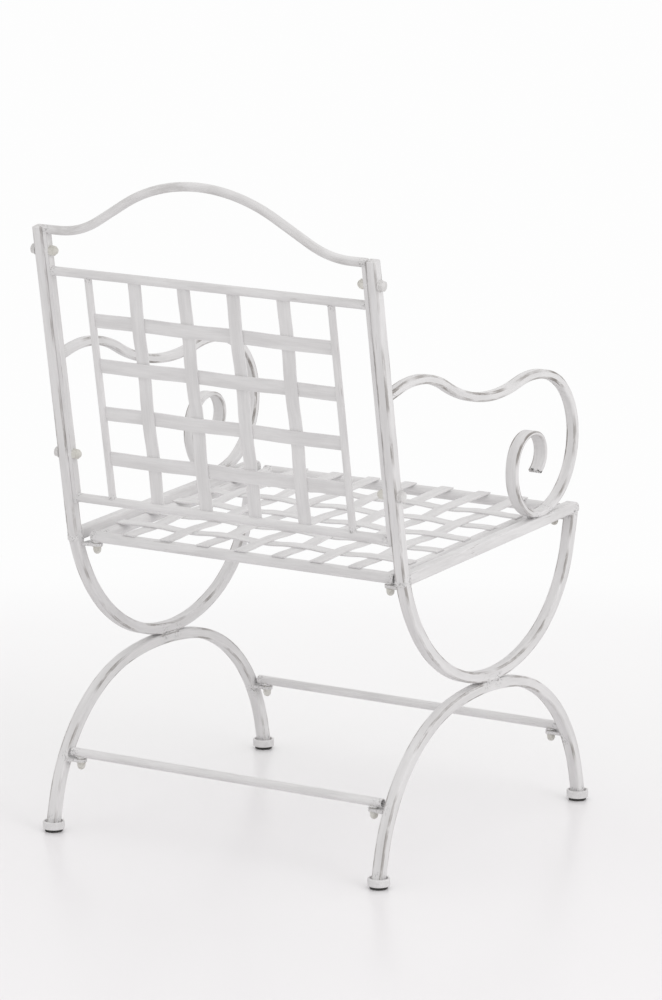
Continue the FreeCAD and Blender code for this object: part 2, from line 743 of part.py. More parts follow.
def build_joints(prefix, x, places, tubes):
    """Lug, stud, washer and cap nut under each end of two cross tubes; places are (y, lug top)."""
    kinds = {"lug": [], "stud": [], "washer": [], "cap_nut": []}
    downward = Rotation(Vector(1, 0, 0), 180)
    for word, (y, top) in places.items():
        end = math.copysign(1, y)
        for hand, side in SIDES.items():
            name = "%s_%s_%s" % (prefix, word, hand)
            on_lug = feet_frame.multiply(moved(side * x, y, top))
            washer = on_lug.multiply(moved(0, 0, -size("lug_thick") - size("washer_thick")))
            kinds["lug"].append(make_lug(name + "_lug", side, end, x, y, top))
            near = [tubes[key] for key in (word, hand) if key in tubes]
            kinds["stud"].append(make_stud(name + "_stud", on_lug, near))
            kinds["washer"].append(make_washer(name + "_washer", washer))
            below_lug = washer.multiply(Placement(Vector(), downward))
            kinds["cap_nut"].append(make_cap_nut(name + "_nut", below_lug))
    for kind, solids in kinds.items():
        group("%s_%ss" % (prefix, kind), solids)


def build_back_bolts():
    bolts, nuts = [], []
    for hand, side in SIDES.items():
        for word in ("upper", "lower"):
            name, along = "%s_%s" % (hand, word), size("bolt_" + word)
            bolts.append(make_back_bolt(name + "_bolt", side, along))
            at = inward(side, size("stile_inner"), along)
            nuts.append(make_cap_nut(name + "_cap", at, "back_nut", "bolt_radius"))
    group("back_bolts", bolts)
    group("back_cap_nuts", nuts)


for word, side in SIDES.items():
    build_side(word, side)
build_back()
seat_tubes = build_seat()
stretcher_tubes = build_lower()
build_joints("seat", size("seat_stud_x"), {"rear": (size("seat_rear"), size("rear_lug_top")),
             "front": (-size("seat_front"), size("front_lug_top"))}, seat_tubes)
below = size("tube_radius") + size("stretcher_lug_gap")
build_joints("stretcher", size("stretcher_stud_x"),
             {"rear": (size("stretcher_place"), size("stretcher_rear") - below),
              "front": (-size("stretcher_place"), size("stretcher_front") - below)}, stretcher_tubes)
build_back_bolts()
doc.recompute()

failed = [o.Label for o in doc.Objects if "Invalid" in o.State or "Error" in o.State]
failed += [o.Label for o in nodes if o.Shape.isNull() or not o.Shape.isValid() or not o.Shape.Solids]
if failed:
    raise RuntimeError("these did not build: " + ", ".join(failed))

os.makedirs("parts", exist_ok=True)
for piece in nodes:
    piece.Shape.exportStep("parts/%s.step" % piece.Label)
whole = Part.makeCompound([piece.Shape for piece in nodes])
bounds = whole.optimalBoundingBox()
print("%d sub-parts, %d solids" % (len(nodes), len(whole.Solids)))
for axis in "XYZ":
    print(axis, "from %.2f to %.2f" % (getattr(bounds, axis + "Min"), getattr(bounds, axis + "Max")))
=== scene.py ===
"""White distressed steel garden armchair: brushed paint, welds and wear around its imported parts.

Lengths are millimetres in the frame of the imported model: X to the sitter's left, -Y the way the
chair faces, Z up, origin on the floor under the middle of the chair's depth. Meshes, node
coordinates and lamps are in metres.
"""
import logging
import math
from dataclasses import dataclass
from enum import Enum

import bpy
import numpy as np
from mathutils import Euler, Matrix, Vector


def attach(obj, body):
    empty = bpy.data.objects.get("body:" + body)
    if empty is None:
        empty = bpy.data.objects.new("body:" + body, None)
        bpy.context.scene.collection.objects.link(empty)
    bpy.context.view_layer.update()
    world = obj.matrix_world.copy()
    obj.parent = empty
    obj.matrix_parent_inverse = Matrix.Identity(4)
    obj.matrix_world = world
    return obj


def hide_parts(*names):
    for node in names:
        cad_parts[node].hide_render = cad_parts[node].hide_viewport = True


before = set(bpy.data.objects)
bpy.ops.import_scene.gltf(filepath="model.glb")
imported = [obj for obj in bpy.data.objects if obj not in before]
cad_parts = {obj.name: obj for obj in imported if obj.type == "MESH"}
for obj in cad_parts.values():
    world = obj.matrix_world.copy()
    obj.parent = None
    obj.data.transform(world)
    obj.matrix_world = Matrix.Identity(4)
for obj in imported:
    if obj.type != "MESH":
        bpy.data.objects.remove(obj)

Array = np.ndarray
Node = bpy.types.Node
Socket = bpy.types.NodeSocket
Point = tuple[float, float, float]
Rows = tuple[tuple[float, ...], ...]

MM = 0.001
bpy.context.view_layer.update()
log = logging.getLogger("garden_armchair")

# Places along Y are counted from the middle between the feet, which lies here.
FEET_MIDDLE = -11.2
SIDE_PLANE = 268.7
LUG_ROOT = 260.3
ROD_PLACE = 196.7
BACK_LONG_STRIPS = (120.4, 40.1, -40.1, -120.4)
BACK_CROSS_STRIPS = (288.4, 222.8, 153.0, 86.8)
BACK_RAILS = {"upper": 354.7, "lower": 21.9}
SEAT_TUBES = {"rear": 196.5, "front": -244.5}
TUBE_DROP = -9.0
STRETCHERS = {"rear": (239.0, 110.0), "front": (-239.0, 113.7)}
LEFTWARD, REARWARD = np.array([1.0, 0, 0]), np.array([0, 1.0, 0])
QUARTER = Matrix(((0, -1, 0), (1, 0, 0), (0, 0, 1)))


class Side(Enum):
    """The two sides of the chair, each with the sign of its X."""

    LEFT = 1.0
    RIGHT = -1.0

    def named(self, piece: str) -> str:
        """Name of a piece of this side."""
        return self.name.lower() + "_" + piece


# Paths and surfaces
@dataclass(frozen=True)
class BentPath:
    """Path of a bent bar in its own plane: straight runs (length,) and arcs (radius, turn in degrees)."""

    start: tuple[float, float]
    heading: float
    runs: Rows

    def length(self, count: int) -> float:
        """Length of the first runs."""
        return sum(run[0] if len(run) == 1 else run[0] * math.radians(abs(run[1]))
                   for run in self.runs[:count])

    def sample(self, step: float) -> tuple[Array, Array, Array]:
        """Walk the runs at about even steps.

        A straight run is point + t * direction. An arc turns about the centre that lies one radius
        to the side of the heading: centre + radius * (cos, sin) of the first angle plus t * turn.

        Args:
            step: Largest distance between two samples.

        Returns:
            Points (n, 2), unit directions (n, 2) and distances along the path (n,).
        """
        at, angle, gone = np.array(self.start, float), math.radians(self.heading), 0.0
        points, ways, places = [], [], []
        for number, run in enumerate(self.runs):
            turn = math.radians(run[1]) if len(run) > 1 else 0.0
            length = run[0] * abs(turn) if turn else run[0]
            share = np.linspace(0, 1, max(2, int(math.ceil(length / step)) + 1))
            if turn:
                side = math.copysign(1.0, turn)
                centre = at + side * run[0] * np.array([-math.sin(angle), math.cos(angle)])
                swing = angle - side * math.pi / 2 + share * turn
                spots = centre + run[0] * np.stack([np.cos(swing), np.sin(swing)], 1)
            else:
                way = np.array([math.cos(angle), math.sin(angle)])
                spots = at + share[:, None] * length * way
            turned = angle + share * turn
            keep = slice(0 if number == 0 else 1, None)
            points.append(spots[keep])
            ways.append(np.stack([np.cos(turned), np.sin(turned)], 1)[keep])
            places.append((gone + share * length)[keep])
            at, angle, gone = spots[-1], angle + turn, gone + length
        return np.concatenate(points), np.concatenate(ways), np.concatenate(places)


@dataclass(frozen=True)
class BarSection:
    """Rectangular bar section with rounded edges."""

    width: float
    depth: float
    edge: float = 2.5
    arc_steps: int = 5
    flat_steps: int = 4

    def outline(self) -> tuple[Array, Array]:
        """Points around the section and how near each lies to a rounded edge.

        Each quarter is a quarter circle about its corner's centre and then the flat to the next
        corner, cut into equal steps. Nearness on a flat is half the cube of the distance from its
        middle, as a share of half its length.

        Returns:
            Points (m, 2) as (across, through), and edge nearness (m,), 1 all round a corner.
        """
        half = np.array([self.width, self.depth]) / 2
        inner = half - self.edge
        signs = np.array([(1, -1), (1, 1), (-1, 1), (-1, -1)], float)
        swing = np.linspace(-math.pi / 2, 0, self.arc_steps + 1)
        share = np.linspace(0, 1, self.flat_steps + 2)[1:-1, None]
        parts, near = [], []
        for quarter, sign in enumerate(signs):
            angle = swing + quarter * math.pi / 2
            arc = sign * inner + self.edge * np.stack([np.cos(angle), np.sin(angle)], 1)
            after = signs[(quarter + 1) % 4] * inner
            first = after + self.edge * np.array([math.cos(angle[-1]), math.sin(angle[-1])])
            parts += [arc, arc[-1] + share * (first - arc[-1])]
            near += [np.ones(len(arc)), 0.5 * np.abs(2 * share[:, 0] - 1) ** 3]
        return np.concatenate(parts), np.concatenate(near)


def smooth_step(low: float, high: float, value: Array) -> Array:
    """Cubic ramp from 0 at low to 1 at high."""
    share = np.clip((value - low) / (high - low), 0, 1)
    return share * share * (3 - 2 * share)


def ripple(points: Array, size: float, seed: int) -> Array:
    """Smooth noise between about -1 and 1: a sum of twelve sine waves of seeded directions.

    Args:
        points: Places (..., 3).
        size: Rough distance between two humps.
        seed: Chooses the waves.

    Returns:
        Noise of shape (...).
    """
    dice = np.random.default_rng(seed)
    ways = dice.normal(size=(12, 3))
    ways *= (2 * math.pi / size) * dice.uniform(0.6, 1.6, (12, 1)) / np.linalg.norm(ways, axis=1)[:, None]
    return np.sin(points @ ways.T + dice.uniform(0, 2 * math.pi, 12)).sum(-1) / 4.0


def nearness(points: Array, spots: list[Point], reach: float) -> Array:
    """How near each point lies to any of some spots: one minus the cubic ramp of distance over reach."""
    gaps = np.linalg.norm(points[..., None, :] - np.array(spots), axis=-1).min(-1)
    return 1 - smooth_step(0.25 * reach, reach, gaps)


def tangents(spine: Array) -> Array:
    """Unit directions along a line of points (n, 3)."""
    ways = np.gradient(spine, axis=0)
    return ways / np.linalg.norm(ways, axis=1)[:, None]


class Shell:
    """Closed surfaces kept as arrays until one mesh object is made of them."""

    def __init__(self) -> None:
        """Start with no faces."""
        self.places: list[Array] = []
        self.faces: list[Array] = []
        self.marks: dict[str, list[Array]] = {}
        self.count = 0

    def add(self, grid: Array, **marks: Array) -> None:
        """Add a grid closed around and by a pole at each end.

        Cell (i, j) is the quad of rows i and i + 1 and columns j and j + 1, the last column meeting
        the first. A pole is the mean of its end row, joined to it by a fan of triangles. The winding
        is turned round if the solid's volume comes out negative.

        Args:
            grid: Points (n, m, 3).
            marks: Named values per point, (n, m) or (n, m, 3).
        """
        rows, columns = grid.shape[:2]
        index = np.arange(rows * columns).reshape(rows, columns)
        after = np.roll(index, -1, axis=1)
        quads = np.stack([index[:-1], index[1:], after[1:], after[:-1]], -1).reshape(-1, 4)
        first, last = rows * columns, rows * columns + 1
        start = np.stack([np.full(columns, first), index[0], after[0]], 1)
        end = np.stack([np.full(columns, last), after[-1], index[-1]], 1)
        fans = np.concatenate([start, end])
        points = np.concatenate([grid.reshape(-1, 3), grid[[0, -1]].mean(1)])
        a, b, c = points[np.concatenate([quads[:, :3], quads[:, [0, 2, 3]], fans])].transpose(1, 0, 2)
        if np.einsum("ij,ij->i", a, np.cross(b, c)).sum() < 0:
            quads, fans = quads[:, ::-1], fans[:, ::-1]
        no_corner = np.full((len(fans), 1), -1)
        self.faces += [quads + self.count, np.concatenate([fans + self.count, no_corner], 1)]
        self.places.append(points)
        for name, values in marks.items():
            table = values.reshape(rows, columns, -1)
            flat = table.reshape(rows * columns, -1)
            self.marks.setdefault(name, []).append(np.concatenate([flat, table[[0, -1]].mean(1)]))
        self.count += len(points)

    def make(self, name: str, material: bpy.types.Material, sharp: float = 42.0) -> bpy.types.Object:
        """Make one mesh object of all that was added, riding on the chair's one body.

        Args:
            name: Object name.
            material: Its finish.
            sharp: Edges that turn by more degrees than this stay crisp.

        Returns:
            The new object, at the origin.
        """
        faces = np.concatenate(self.faces)
        lengths = np.where(faces[:, 3] < 0, 3, 4)
        corners = faces[np.arange(4) < lengths[:, None]]
        starts = np.concatenate([[0], np.cumsum(lengths)[:-1]])
        mesh = bpy.data.meshes.new(name)
        mesh.vertices.add(self.count)
        mesh.vertices.foreach_set("co", (np.concatenate(self.places) * MM).astype(np.float32).ravel())
        mesh.loops.add(len(corners))
        mesh.loops.foreach_set("vertex_index", corners.astype(np.int32))
        mesh.polygons.add(len(faces))
        mesh.polygons.foreach_set("loop_start", starts.astype(np.int32))
        mesh.polygons.foreach_set("use_smooth", np.ones(len(faces), bool))
        mesh.update(calc_edges=True)
        for mark, values in self.marks.items():
            stack = np.concatenate(values).astype(np.float32)
            kind, word = ("FLOAT_VECTOR", "vector") if stack.shape[1] == 3 else ("FLOAT", "value")
            mesh.attributes.new(mark, kind, "POINT").data.foreach_set(word, stack.ravel())
        mesh.set_sharp_from_angle(angle=math.radians(sharp))
        mesh.validate()
        thing = bpy.data.objects.new(name, mesh)
        bpy.context.scene.collection.objects.link(thing)
        mesh.materials.append(material)
        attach(thing, "root")
        return thing


# Node trees
class Graph:
    """Short words for building a node tree."""

    def __init__(self, tree: bpy.types.NodeTree) -> None:
        """Keep the tree that nodes are added to."""
        self.tree = tree

    def feed(self, socket: Socket, value: object) -> None:
        """Link a socket, or set its plain value.

        Args:
            socket: Input to feed.
            value: Output to link it to, or a number or tuple.
        """
        if isinstance(value, bpy.types.NodeSocket):
            self.tree.links.new(value, socket)
        else:
            socket.default_value = value

    def add(self, kind: str, inputs: dict[int | str, object], **settings: object) -> Node:
        """Add a node.

        Args:
            kind: Its type.
            inputs: What feeds its inputs, by number or by name with _ for a space.
            settings: Its properties.

        Returns:
            The new node.
        """
        made = self.tree.nodes.new(kind)
        for name, value in settings.items():
            setattr(made, name, value)
        for key, value in inputs.items():
            self.feed(made.inputs[key if isinstance(key, int) else key.replace("_", " ")], value)
        return made

    def node(self, kind: str, **inputs: object) -> Node:
        """Add a node that needs no settings."""
        return self.add(kind, inputs)

    def group(self, tree: bpy.types.NodeTree, **inputs: object) -> Node:
        """Place a node group with its inputs."""
        return self.add("ShaderNodeGroup", inputs, node_tree=tree)

    def where(self) -> Socket:
        """Place in the piece's own coordinates, in metres."""
        return self.node("ShaderNodeTexCoord").outputs["Object"]

    def split(self, vector: Socket) -> bpy.types.bpy_prop_collection:
        """The X, Y and Z of a vector."""
        return self.node("ShaderNodeSeparateXYZ", Vector=vector).outputs

    def math(self, what: str, a: object, b: object = 0.0, clamp: bool = False) -> Socket:
        """One Math node."""
        return self.add("ShaderNodeMath", {0: a, 1: b}, operation=what, use_clamp=clamp).outputs[0]

    def times(self, *factors: object, clamp: bool = False) -> Socket:
        """Product of several values.

        Args:
            factors: Sockets or numbers.
            clamp: Whether the product is kept between 0 and 1.

        Returns:
            The product.
        """
        product = factors[0]
        for factor in factors[1:]:
            product = self.math("MULTIPLY", product, factor, clamp)
        return product

    def vector(self, what: str, a: object, b: object = (0.0, 0.0, 0.0)) -> Socket:
        """One Vector Math node; a distance comes out as a value."""
        made = self.add("ShaderNodeVectorMath", {0: a, 1: b}, operation=what)
        return made.outputs["Value" if what == "DISTANCE" else "Vector"]

    def noise(self, vector: Socket, stretch: Point, detail: float, rough: float) -> Socket:
        """Noise value of a vector that is first multiplied by stretch, in features per metre."""
        return self.node("ShaderNodeTexNoise", Vector=self.vector("MULTIPLY", vector, stretch), Scale=1.0,
                         Detail=detail, Roughness=rough).outputs[0]

    def ramp(self, value: Socket, low: float, high: float, to: tuple[float, float] = (0.0, 1.0)) -> Socket:
        """Smooth step of a value between low and high."""
        ends = {"Value": value, "From Min": low, "From Max": high, "To Min": to[0], "To Max": to[1]}
        return self.add("ShaderNodeMapRange", ends, interpolation_type="SMOOTHSTEP").outputs["Result"]

    def mix(self, share: object, a: object, b: object, how: str = "MIX") -> Socket:
        """Mix two colours."""
        return self.add("ShaderNodeMix", {0: share, 6: a, 7: b}, data_type="RGBA", blend_type=how).outputs[2]


def start_tree(owner: bpy.types.Material | bpy.types.World) -> Graph:
    """Switch on the nodes of a material or world and empty its tree.

    Args:
        owner: What the tree belongs to.

    Returns:
        The graph to build in.
    """
    owner.use_nodes = True
    owner.node_tree.nodes.clear()
    return Graph(owner.node_tree)


def new_group(name: str, inputs: dict[str, str], outputs: dict[str, str]) -> tuple[Graph, Node, Node]:
    """Start a shader node group.

    Args:
        name: Name of the group.
        inputs: Socket names and kinds, such as "Float" or "Vector".
        outputs: The same for what comes out.

    Returns:
        The graph, its input node and its output node.
    """
    tree = bpy.data.node_groups.new(name, "ShaderNodeTree")
    for words, way in ((inputs, "INPUT"), (outputs, "OUTPUT")):
        for word, kind in words.items():
            tree.interface.new_socket(name=word, in_out=way, socket_type="NodeSocket" + kind)
    return Graph(tree), tree.nodes.new("NodeGroupInput"), tree.nodes.new("NodeGroupOutput")


# Paint
class Grain(Enum):
    """The paint's noises.

    Each has its features per metre along and across a piece, its octaves and roughness, and the
    two levels between which it steps from 0 to 1.
    """

    BRUSH = (30.0, 620.0, 3.0, 0.6, 0.3, 0.7)
    TONE = (11.0, 90.0, 2.0, 0.5, 0.36, 0.66)
    PATCH = (13.0, 26.0, 1.0, 0.5, 0.56, 0.72)
    DRY = (20.0, 380.0, 3.0, 0.65, 0.58, 0.7)
    THIN = (34.0, 520.0, 2.0, 0.6, 0.5, 0.68)
    RAGGED = (42.0, 240.0, 3.0, 0.7, 1.28, 1.62)
    RUBBED = (16.0, 20.0, 1.0, 0.5, 0.4, 0.62)
    SPECK = (260.0, 420.0, 3.0, 0.7, 0.5, 0.64)

    def noise(self, graph: Graph, place: Socket) -> Socket:
        """Value of this noise, stretched along the piece."""
        along, across, detail, rough = self.value[:4]
        return graph.noise(place, (along, across, across), detail, rough)

    def step(self, graph: Graph, value: Socket, to: tuple[float, float] = (0.0, 1.0)) -> Socket:
        """Smooth step of a value between this noise's levels."""
        return graph.ramp(value, self.value[4], self.value[5], to)

    def mask(self, graph: Graph, place: Socket) -> Socket:
        """Smooth step of this noise."""
        return self.step(graph, self.noise(graph, place))


@dataclass(frozen=True)
class PaintMarks:
    """How strongly each mark changes the paint's colour, roughness and height."""

    brush_tone: tuple[float, float] = (0.965, 1.02)
    faint: float = 0.08
    streak: float = 0.75
    edge: float = 0.85
    # Share and colour of the near-black specks: grime, and painted shade in the cups' wells and on the arms'
    # curl ends.
    dirt_and_shade: float = 0.9
    dirt_and_shade_color: tuple[float, ...] = (0.035, 0.032, 0.028, 1.0)
    rough: float = 0.42
    brush_rough: float = 0.18
    worn_rough: float = 0.24
    brush_height: float = 0.5

    def group(self) -> bpy.types.NodeTree:
        """Brushed antique paint: long brush marks, dark dry streaks in patches, worn edges, and specks of
        grime and painted shade.

        The Place vector is metres along, across and through a piece. Worn paint shows where a patch
        noise and a streak noise are both high, or where the Edge mask and a ragged noise add up to
        more than a threshold. Grime and painted shade show in the specks of a fine noise.

        Returns:
            The node group.
        """
        graph, given, out = new_group(
            "brushed_paint",
            {"Place": "Vector", "Edge": "Float", "Grime": "Float", "Streaks": "Float", "Wear": "Float",
             "Light": "Color", "Shade": "Color", "Worn": "Color"},
            {"Color": "Color", "Roughness": "Float", "Height": "Float"})
        place, streaks, worn_color = (given.outputs[word] for word in ("Place", "Streaks", "Worn"))
        marks = Grain.BRUSH.noise(graph, place)
        streak = graph.times(Grain.PATCH.mask(graph, place), Grain.DRY.mask(graph, place), streaks)
        faint = graph.times(Grain.THIN.mask(graph, place), self.faint, streaks)
        streak = graph.math("MAXIMUM", streak, faint, clamp=True)
        edge = graph.math("ADD", given.outputs["Edge"], Grain.RAGGED.noise(graph, place))
        edge = graph.times(Grain.RAGGED.step(graph, edge), Grain.RUBBED.mask(graph, place),
                           given.outputs["Wear"], clamp=True)
        # Near-black specks: grime, and painted shade where a material feeds shade into this mask (the foot
        # cups' wells, the arms' curl ends).
        dirt_and_shade = graph.times(Grain.SPECK.mask(graph, place), given.outputs["Grime"], clamp=True)
        color = graph.mix(Grain.TONE.mask(graph, place), given.outputs["Light"], given.outputs["Shade"])
        tone = Grain.BRUSH.step(graph, marks, self.brush_tone)
        grey = graph.node("ShaderNodeCombineColor", Red=tone, Green=tone, Blue=tone).outputs[0]
        color = graph.mix(1.0, color, grey, "MULTIPLY")
        color = graph.mix(graph.times(streak, self.streak), color, worn_color)
        color = graph.mix(graph.times(edge, self.edge), color, worn_color)
        color = graph.mix(graph.times(dirt_and_shade, self.dirt_and_shade), color, self.dirt_and_shade_color)
        worn = graph.math("MAXIMUM", graph.math("MAXIMUM", streak, edge), dirt_and_shade)
        rough = graph.math("ADD", graph.times(worn, self.worn_rough), graph.times(marks, self.brush_rough))
        graph.feed(out.inputs["Color"], color)
        graph.feed(out.inputs["Roughness"], graph.math("ADD", rough, self.rough))
        graph.feed(out.inputs["Height"], graph.math("SUBTRACT", graph.times(marks, self.brush_height), worn))
        return graph.tree


def bar_edge_group() -> bpy.types.NodeTree:
    """Masks of the edges and ends of a straight bar.

    Edge is the smooth step of the lesser of |across| - half width and |through| - half depth, from
    minus the band to zero. End is the smooth step of |along| over the last reach of its length.

    Returns:
        The node group.
    """
    graph, given, out = new_group(
        "bar_edge", {"Place": "Vector", "Half": "Vector", "Band": "Float", "Reach": "Float"},
        {"Edge": "Float", "End": "Float"})
    size = graph.split(graph.vector("ABSOLUTE", given.outputs["Place"]))
    half = graph.split(given.outputs["Half"])
    along, across, through = (graph.math("SUBTRACT", size[axis], half[axis]) for axis in "XYZ")
    nearest = graph.math("MINIMUM", across, through)
    for word, left, width in (("Edge", nearest, "Band"), ("End", along, "Reach")):
        graph.feed(out.inputs[word], graph.ramp(graph.math("DIVIDE", left, given.outputs[width]), -1.0, 0.0))
    return graph.tree


@dataclass(frozen=True)
class PaintFinish:
    """Antique white paint: its three tones and how far it is worn."""

    light: Point = (0.748, 0.739, 0.74)
    shade: Point = (0.686, 0.676, 0.677)
    worn: Point = (0.2, 0.178, 0.16)
    streaks: float = 0.8
    wear: float = 0.8
    grime: float = 0.0
    end_grime_and_shade: float = 0.5
    relief: float = 0.0002

    def colors(self) -> dict[str, tuple[float, ...]]:
        """The tones as the sockets of the paint group take them."""
        return {"Light": (*self.light, 1.0), "Shade": (*self.shade, 1.0), "Worn": (*self.worn, 1.0)}


@dataclass(frozen=True)
class Extent:
    """Half length of a straight piece, how far grime reaches in from its ends, and its rubbed edges.

    The edges' half width and depth are left far out where a piece shows no rubbed edges.
    """

    half: float
    reach: float
    edges: tuple[float, float] = (90.0, 90.0)
    band: float = 2.0


@dataclass(frozen=True)
class Seat:
    """Where a straight piece lies: the columns of axes are its directions along, across and through."""

    middle: Point
    axes: Matrix
    extent: Extent


@dataclass(frozen=True)
class CupLevels:
    """Heights on a foot cup, in metres, between which its masks step from 0 to 1."""

    well: tuple[float, float] = (0.0142, 0.0126)
    upward: tuple[float, float] = (0.3, 0.8)
    top_rim: tuple[float, float] = (0.0132, 0.0148)
    foot_rim: tuple[float, float] = (0.0062, 0.0042)
    # Darkening of the well around the leg: painted shade with grime.
    well_grime_and_shade: float = 2.2
    rim_wear: float = 0.75


@dataclass(frozen=True)
class GlideFinish:
    """Moulded plastic of the glides, near-black as painted shadow under the feet."""

    # Near-black colour: painted shadow under the feet.
    dark: tuple[float, ...] = (0.022, 0.021, 0.02, 1.0)
    dusty: tuple[float, ...] = (0.16, 0.15, 0.14, 1.0)
    dust_top: float = 0.004
    dust_step: tuple[float, float] = (0.45, 0.7)
    grain: Point = (700.0, 700.0, 700.0)
    rough: tuple[float, float] = (0.5, 0.85)


class Paintshop:
    """Makes the materials of the painted pieces, all from two shared node groups."""

    def __init__(self) -> None:
        """Build the shared groups once."""
        self.paint = PaintMarks().group()
        self.edges = bar_edge_group()

    def start(self, name: str) -> tuple[bpy.types.Material, Graph, Node]:
        """Start a material.

        Args:
            name: Name of the material.

        Returns:
            The material, its graph and its shader.
        """
        material = bpy.data.materials.new(name)
        graph = start_tree(material)
        shader = graph.node("ShaderNodeBsdfPrincipled")
        graph.node("ShaderNodeOutputMaterial", Surface=shader.outputs[0])
        return material, graph, shader

    def finish(self, graph: Graph, shader: Node, finish: PaintFinish, place: Socket, edge: object,
               grime: object) -> None:
        """Feed a shader with the brushed paint.

        Args:
            graph: The material's graph.
            shader: Its Principled BSDF.
            finish: Tones and wear.
            place: Metres along, across and through the piece.
            edge: Edge mask.
            grime: Mask of grime and painted shade.
        """
        paint = graph.group(self.paint, Place=place, Edge=edge, Grime=grime, Streaks=finish.streaks,
                            Wear=finish.wear, **finish.colors()).outputs
        bump = graph.node("ShaderNodeBump", Strength=0.6, Distance=finish.relief, Height=paint["Height"])
        graph.feed(shader.inputs["Base Color"], paint["Color"])
        graph.feed(shader.inputs["Roughness"], paint["Roughness"])
        graph.feed(shader.inputs["Normal"], bump.outputs[0])

    def swept(self, name: str, finish: PaintFinish) -> bpy.types.Material:
        """Paint that follows the place, wear marks, and marks of grime and painted shade of a swept piece.

        Args:
            name: Name of the material.
            finish: Tones and wear.

        Returns:
            The material.
        """
        material, graph, shader = self.start(name)
        place, wear, grime = (graph.add("ShaderNodeAttribute", {}, attribute_name=word).outputs
                              for word in ("bar_place", "wear", "grime"))
        self.finish(graph, shader, finish, place["Vector"], wear["Fac"], grime["Fac"])
        return material

    def straight(self, name: str, finish: PaintFinish, seat: Seat) -> bpy.types.Material:
        """Paint that follows a straight piece through its object coordinates.

        Args:
            name: Name of the material.
            finish: Tones and wear.
            seat: Where the piece lies.

        Returns:
            The material.
        """
        material, graph, shader = self.start(name)
        extent = seat.extent
        turned = {"Vector": graph.where(), "Location": tuple(v * MM for v in seat.middle),
                  "Rotation": tuple(seat.axes.to_euler())}
        place = graph.add("ShaderNodeMapping", turned, vector_type="TEXTURE").outputs[0]
        mask = graph.group(self.edges, Place=place, Half=tuple(v * MM for v in (extent.half, *extent.edges)),
                           Band=extent.band * MM, Reach=extent.reach * MM).outputs
        grime = graph.math("MAXIMUM", graph.times(mask["End"], finish.end_grime_and_shade), finish.grime)
        shift = graph.vector("ADD", place, (seat.middle[0] * 0.37, seat.middle[1] * 0.21, 0.0))
        self.finish(graph, shader, finish, shift, mask["Edge"], grime)
        return material

    def cast(self, name: str, finish: PaintFinish) -> bpy.types.Material:
        """Paint with no grain direction, for small fittings.

        Args:
            name: Name of the material.
            finish: Tones and wear.

        Returns:
            The material.
        """
        material, graph, shader = self.start(name)
        self.finish(graph, shader, finish, self.short_grain(graph), 0.0, finish.grime)
        return material

    def short_grain(self, graph: Graph) -> Socket:
        """Place in which the paint's marks are hardly longer than wide."""
        return graph.vector("MULTIPLY", graph.where(), (6.0, 1.0, 1.0))

    def cup(self, name: str, finish: PaintFinish, levels: CupLevels = CupLevels()) -> bpy.types.Material:
        """Paint of a foot cup, with painted shade and grime in the well around the leg, and rubbed on its
        rims.

        Args:
            name: Name of the material.
            finish: Tones and wear.
            levels: Where the well and the rims are.

        Returns:
            The material.
        """
        material, graph, shader = self.start(name)
        level = graph.split(graph.where())["Z"]
        up = graph.split(graph.node("ShaderNodeNewGeometry").outputs["Normal"])["Z"]
        # Painted shade with grime: the upward faces in the well around the leg are darkened.
        deep = graph.times(graph.ramp(level, *levels.well), graph.ramp(up, *levels.upward), levels.well_grime_and_shade)
        grime = graph.math("ADD", deep, finish.grime, clamp=True)
        rim = graph.math("MAXIMUM", graph.ramp(level, *levels.top_rim), graph.ramp(level, *levels.foot_rim))
        self.finish(graph, shader, finish, self.short_grain(graph), graph.times(rim, levels.rim_wear), grime)
        return material

    def glide(self, name: str, finish: GlideFinish = GlideFinish()) -> bpy.types.Material:
        """Glide plastic: near-black as painted shadow under the feet, matt, scuffed and dusty near the floor.

        Args:
            name: Name of the material.
            finish: Its colours and scuffs.

        Returns:
            The material.
        """
        material, graph, shader = self.start(name)
        where = graph.where()
        scuff = graph.noise(where, finish.grain, 4.0, 0.7)
        low = graph.ramp(graph.split(where)["Z"], finish.dust_top, 0.0)
        dust = graph.times(low, graph.ramp(scuff, *finish.dust_step))
        bump = graph.node("ShaderNodeBump", Strength=0.5, Distance=0.0002, Height=scuff)
        # The near-black base colour is painted shadow under the feet; the lighter dust near the floor is
        # real.
        graph.feed(shader.inputs["Base Color"], graph.mix(dust, finish.dark, finish.dusty))
        graph.feed(shader.inputs["Roughness"], graph.ramp(scuff, 0.2, 0.8, finish.rough))
        graph.feed(shader.inputs["Normal"], bump.outputs[0])
        return material


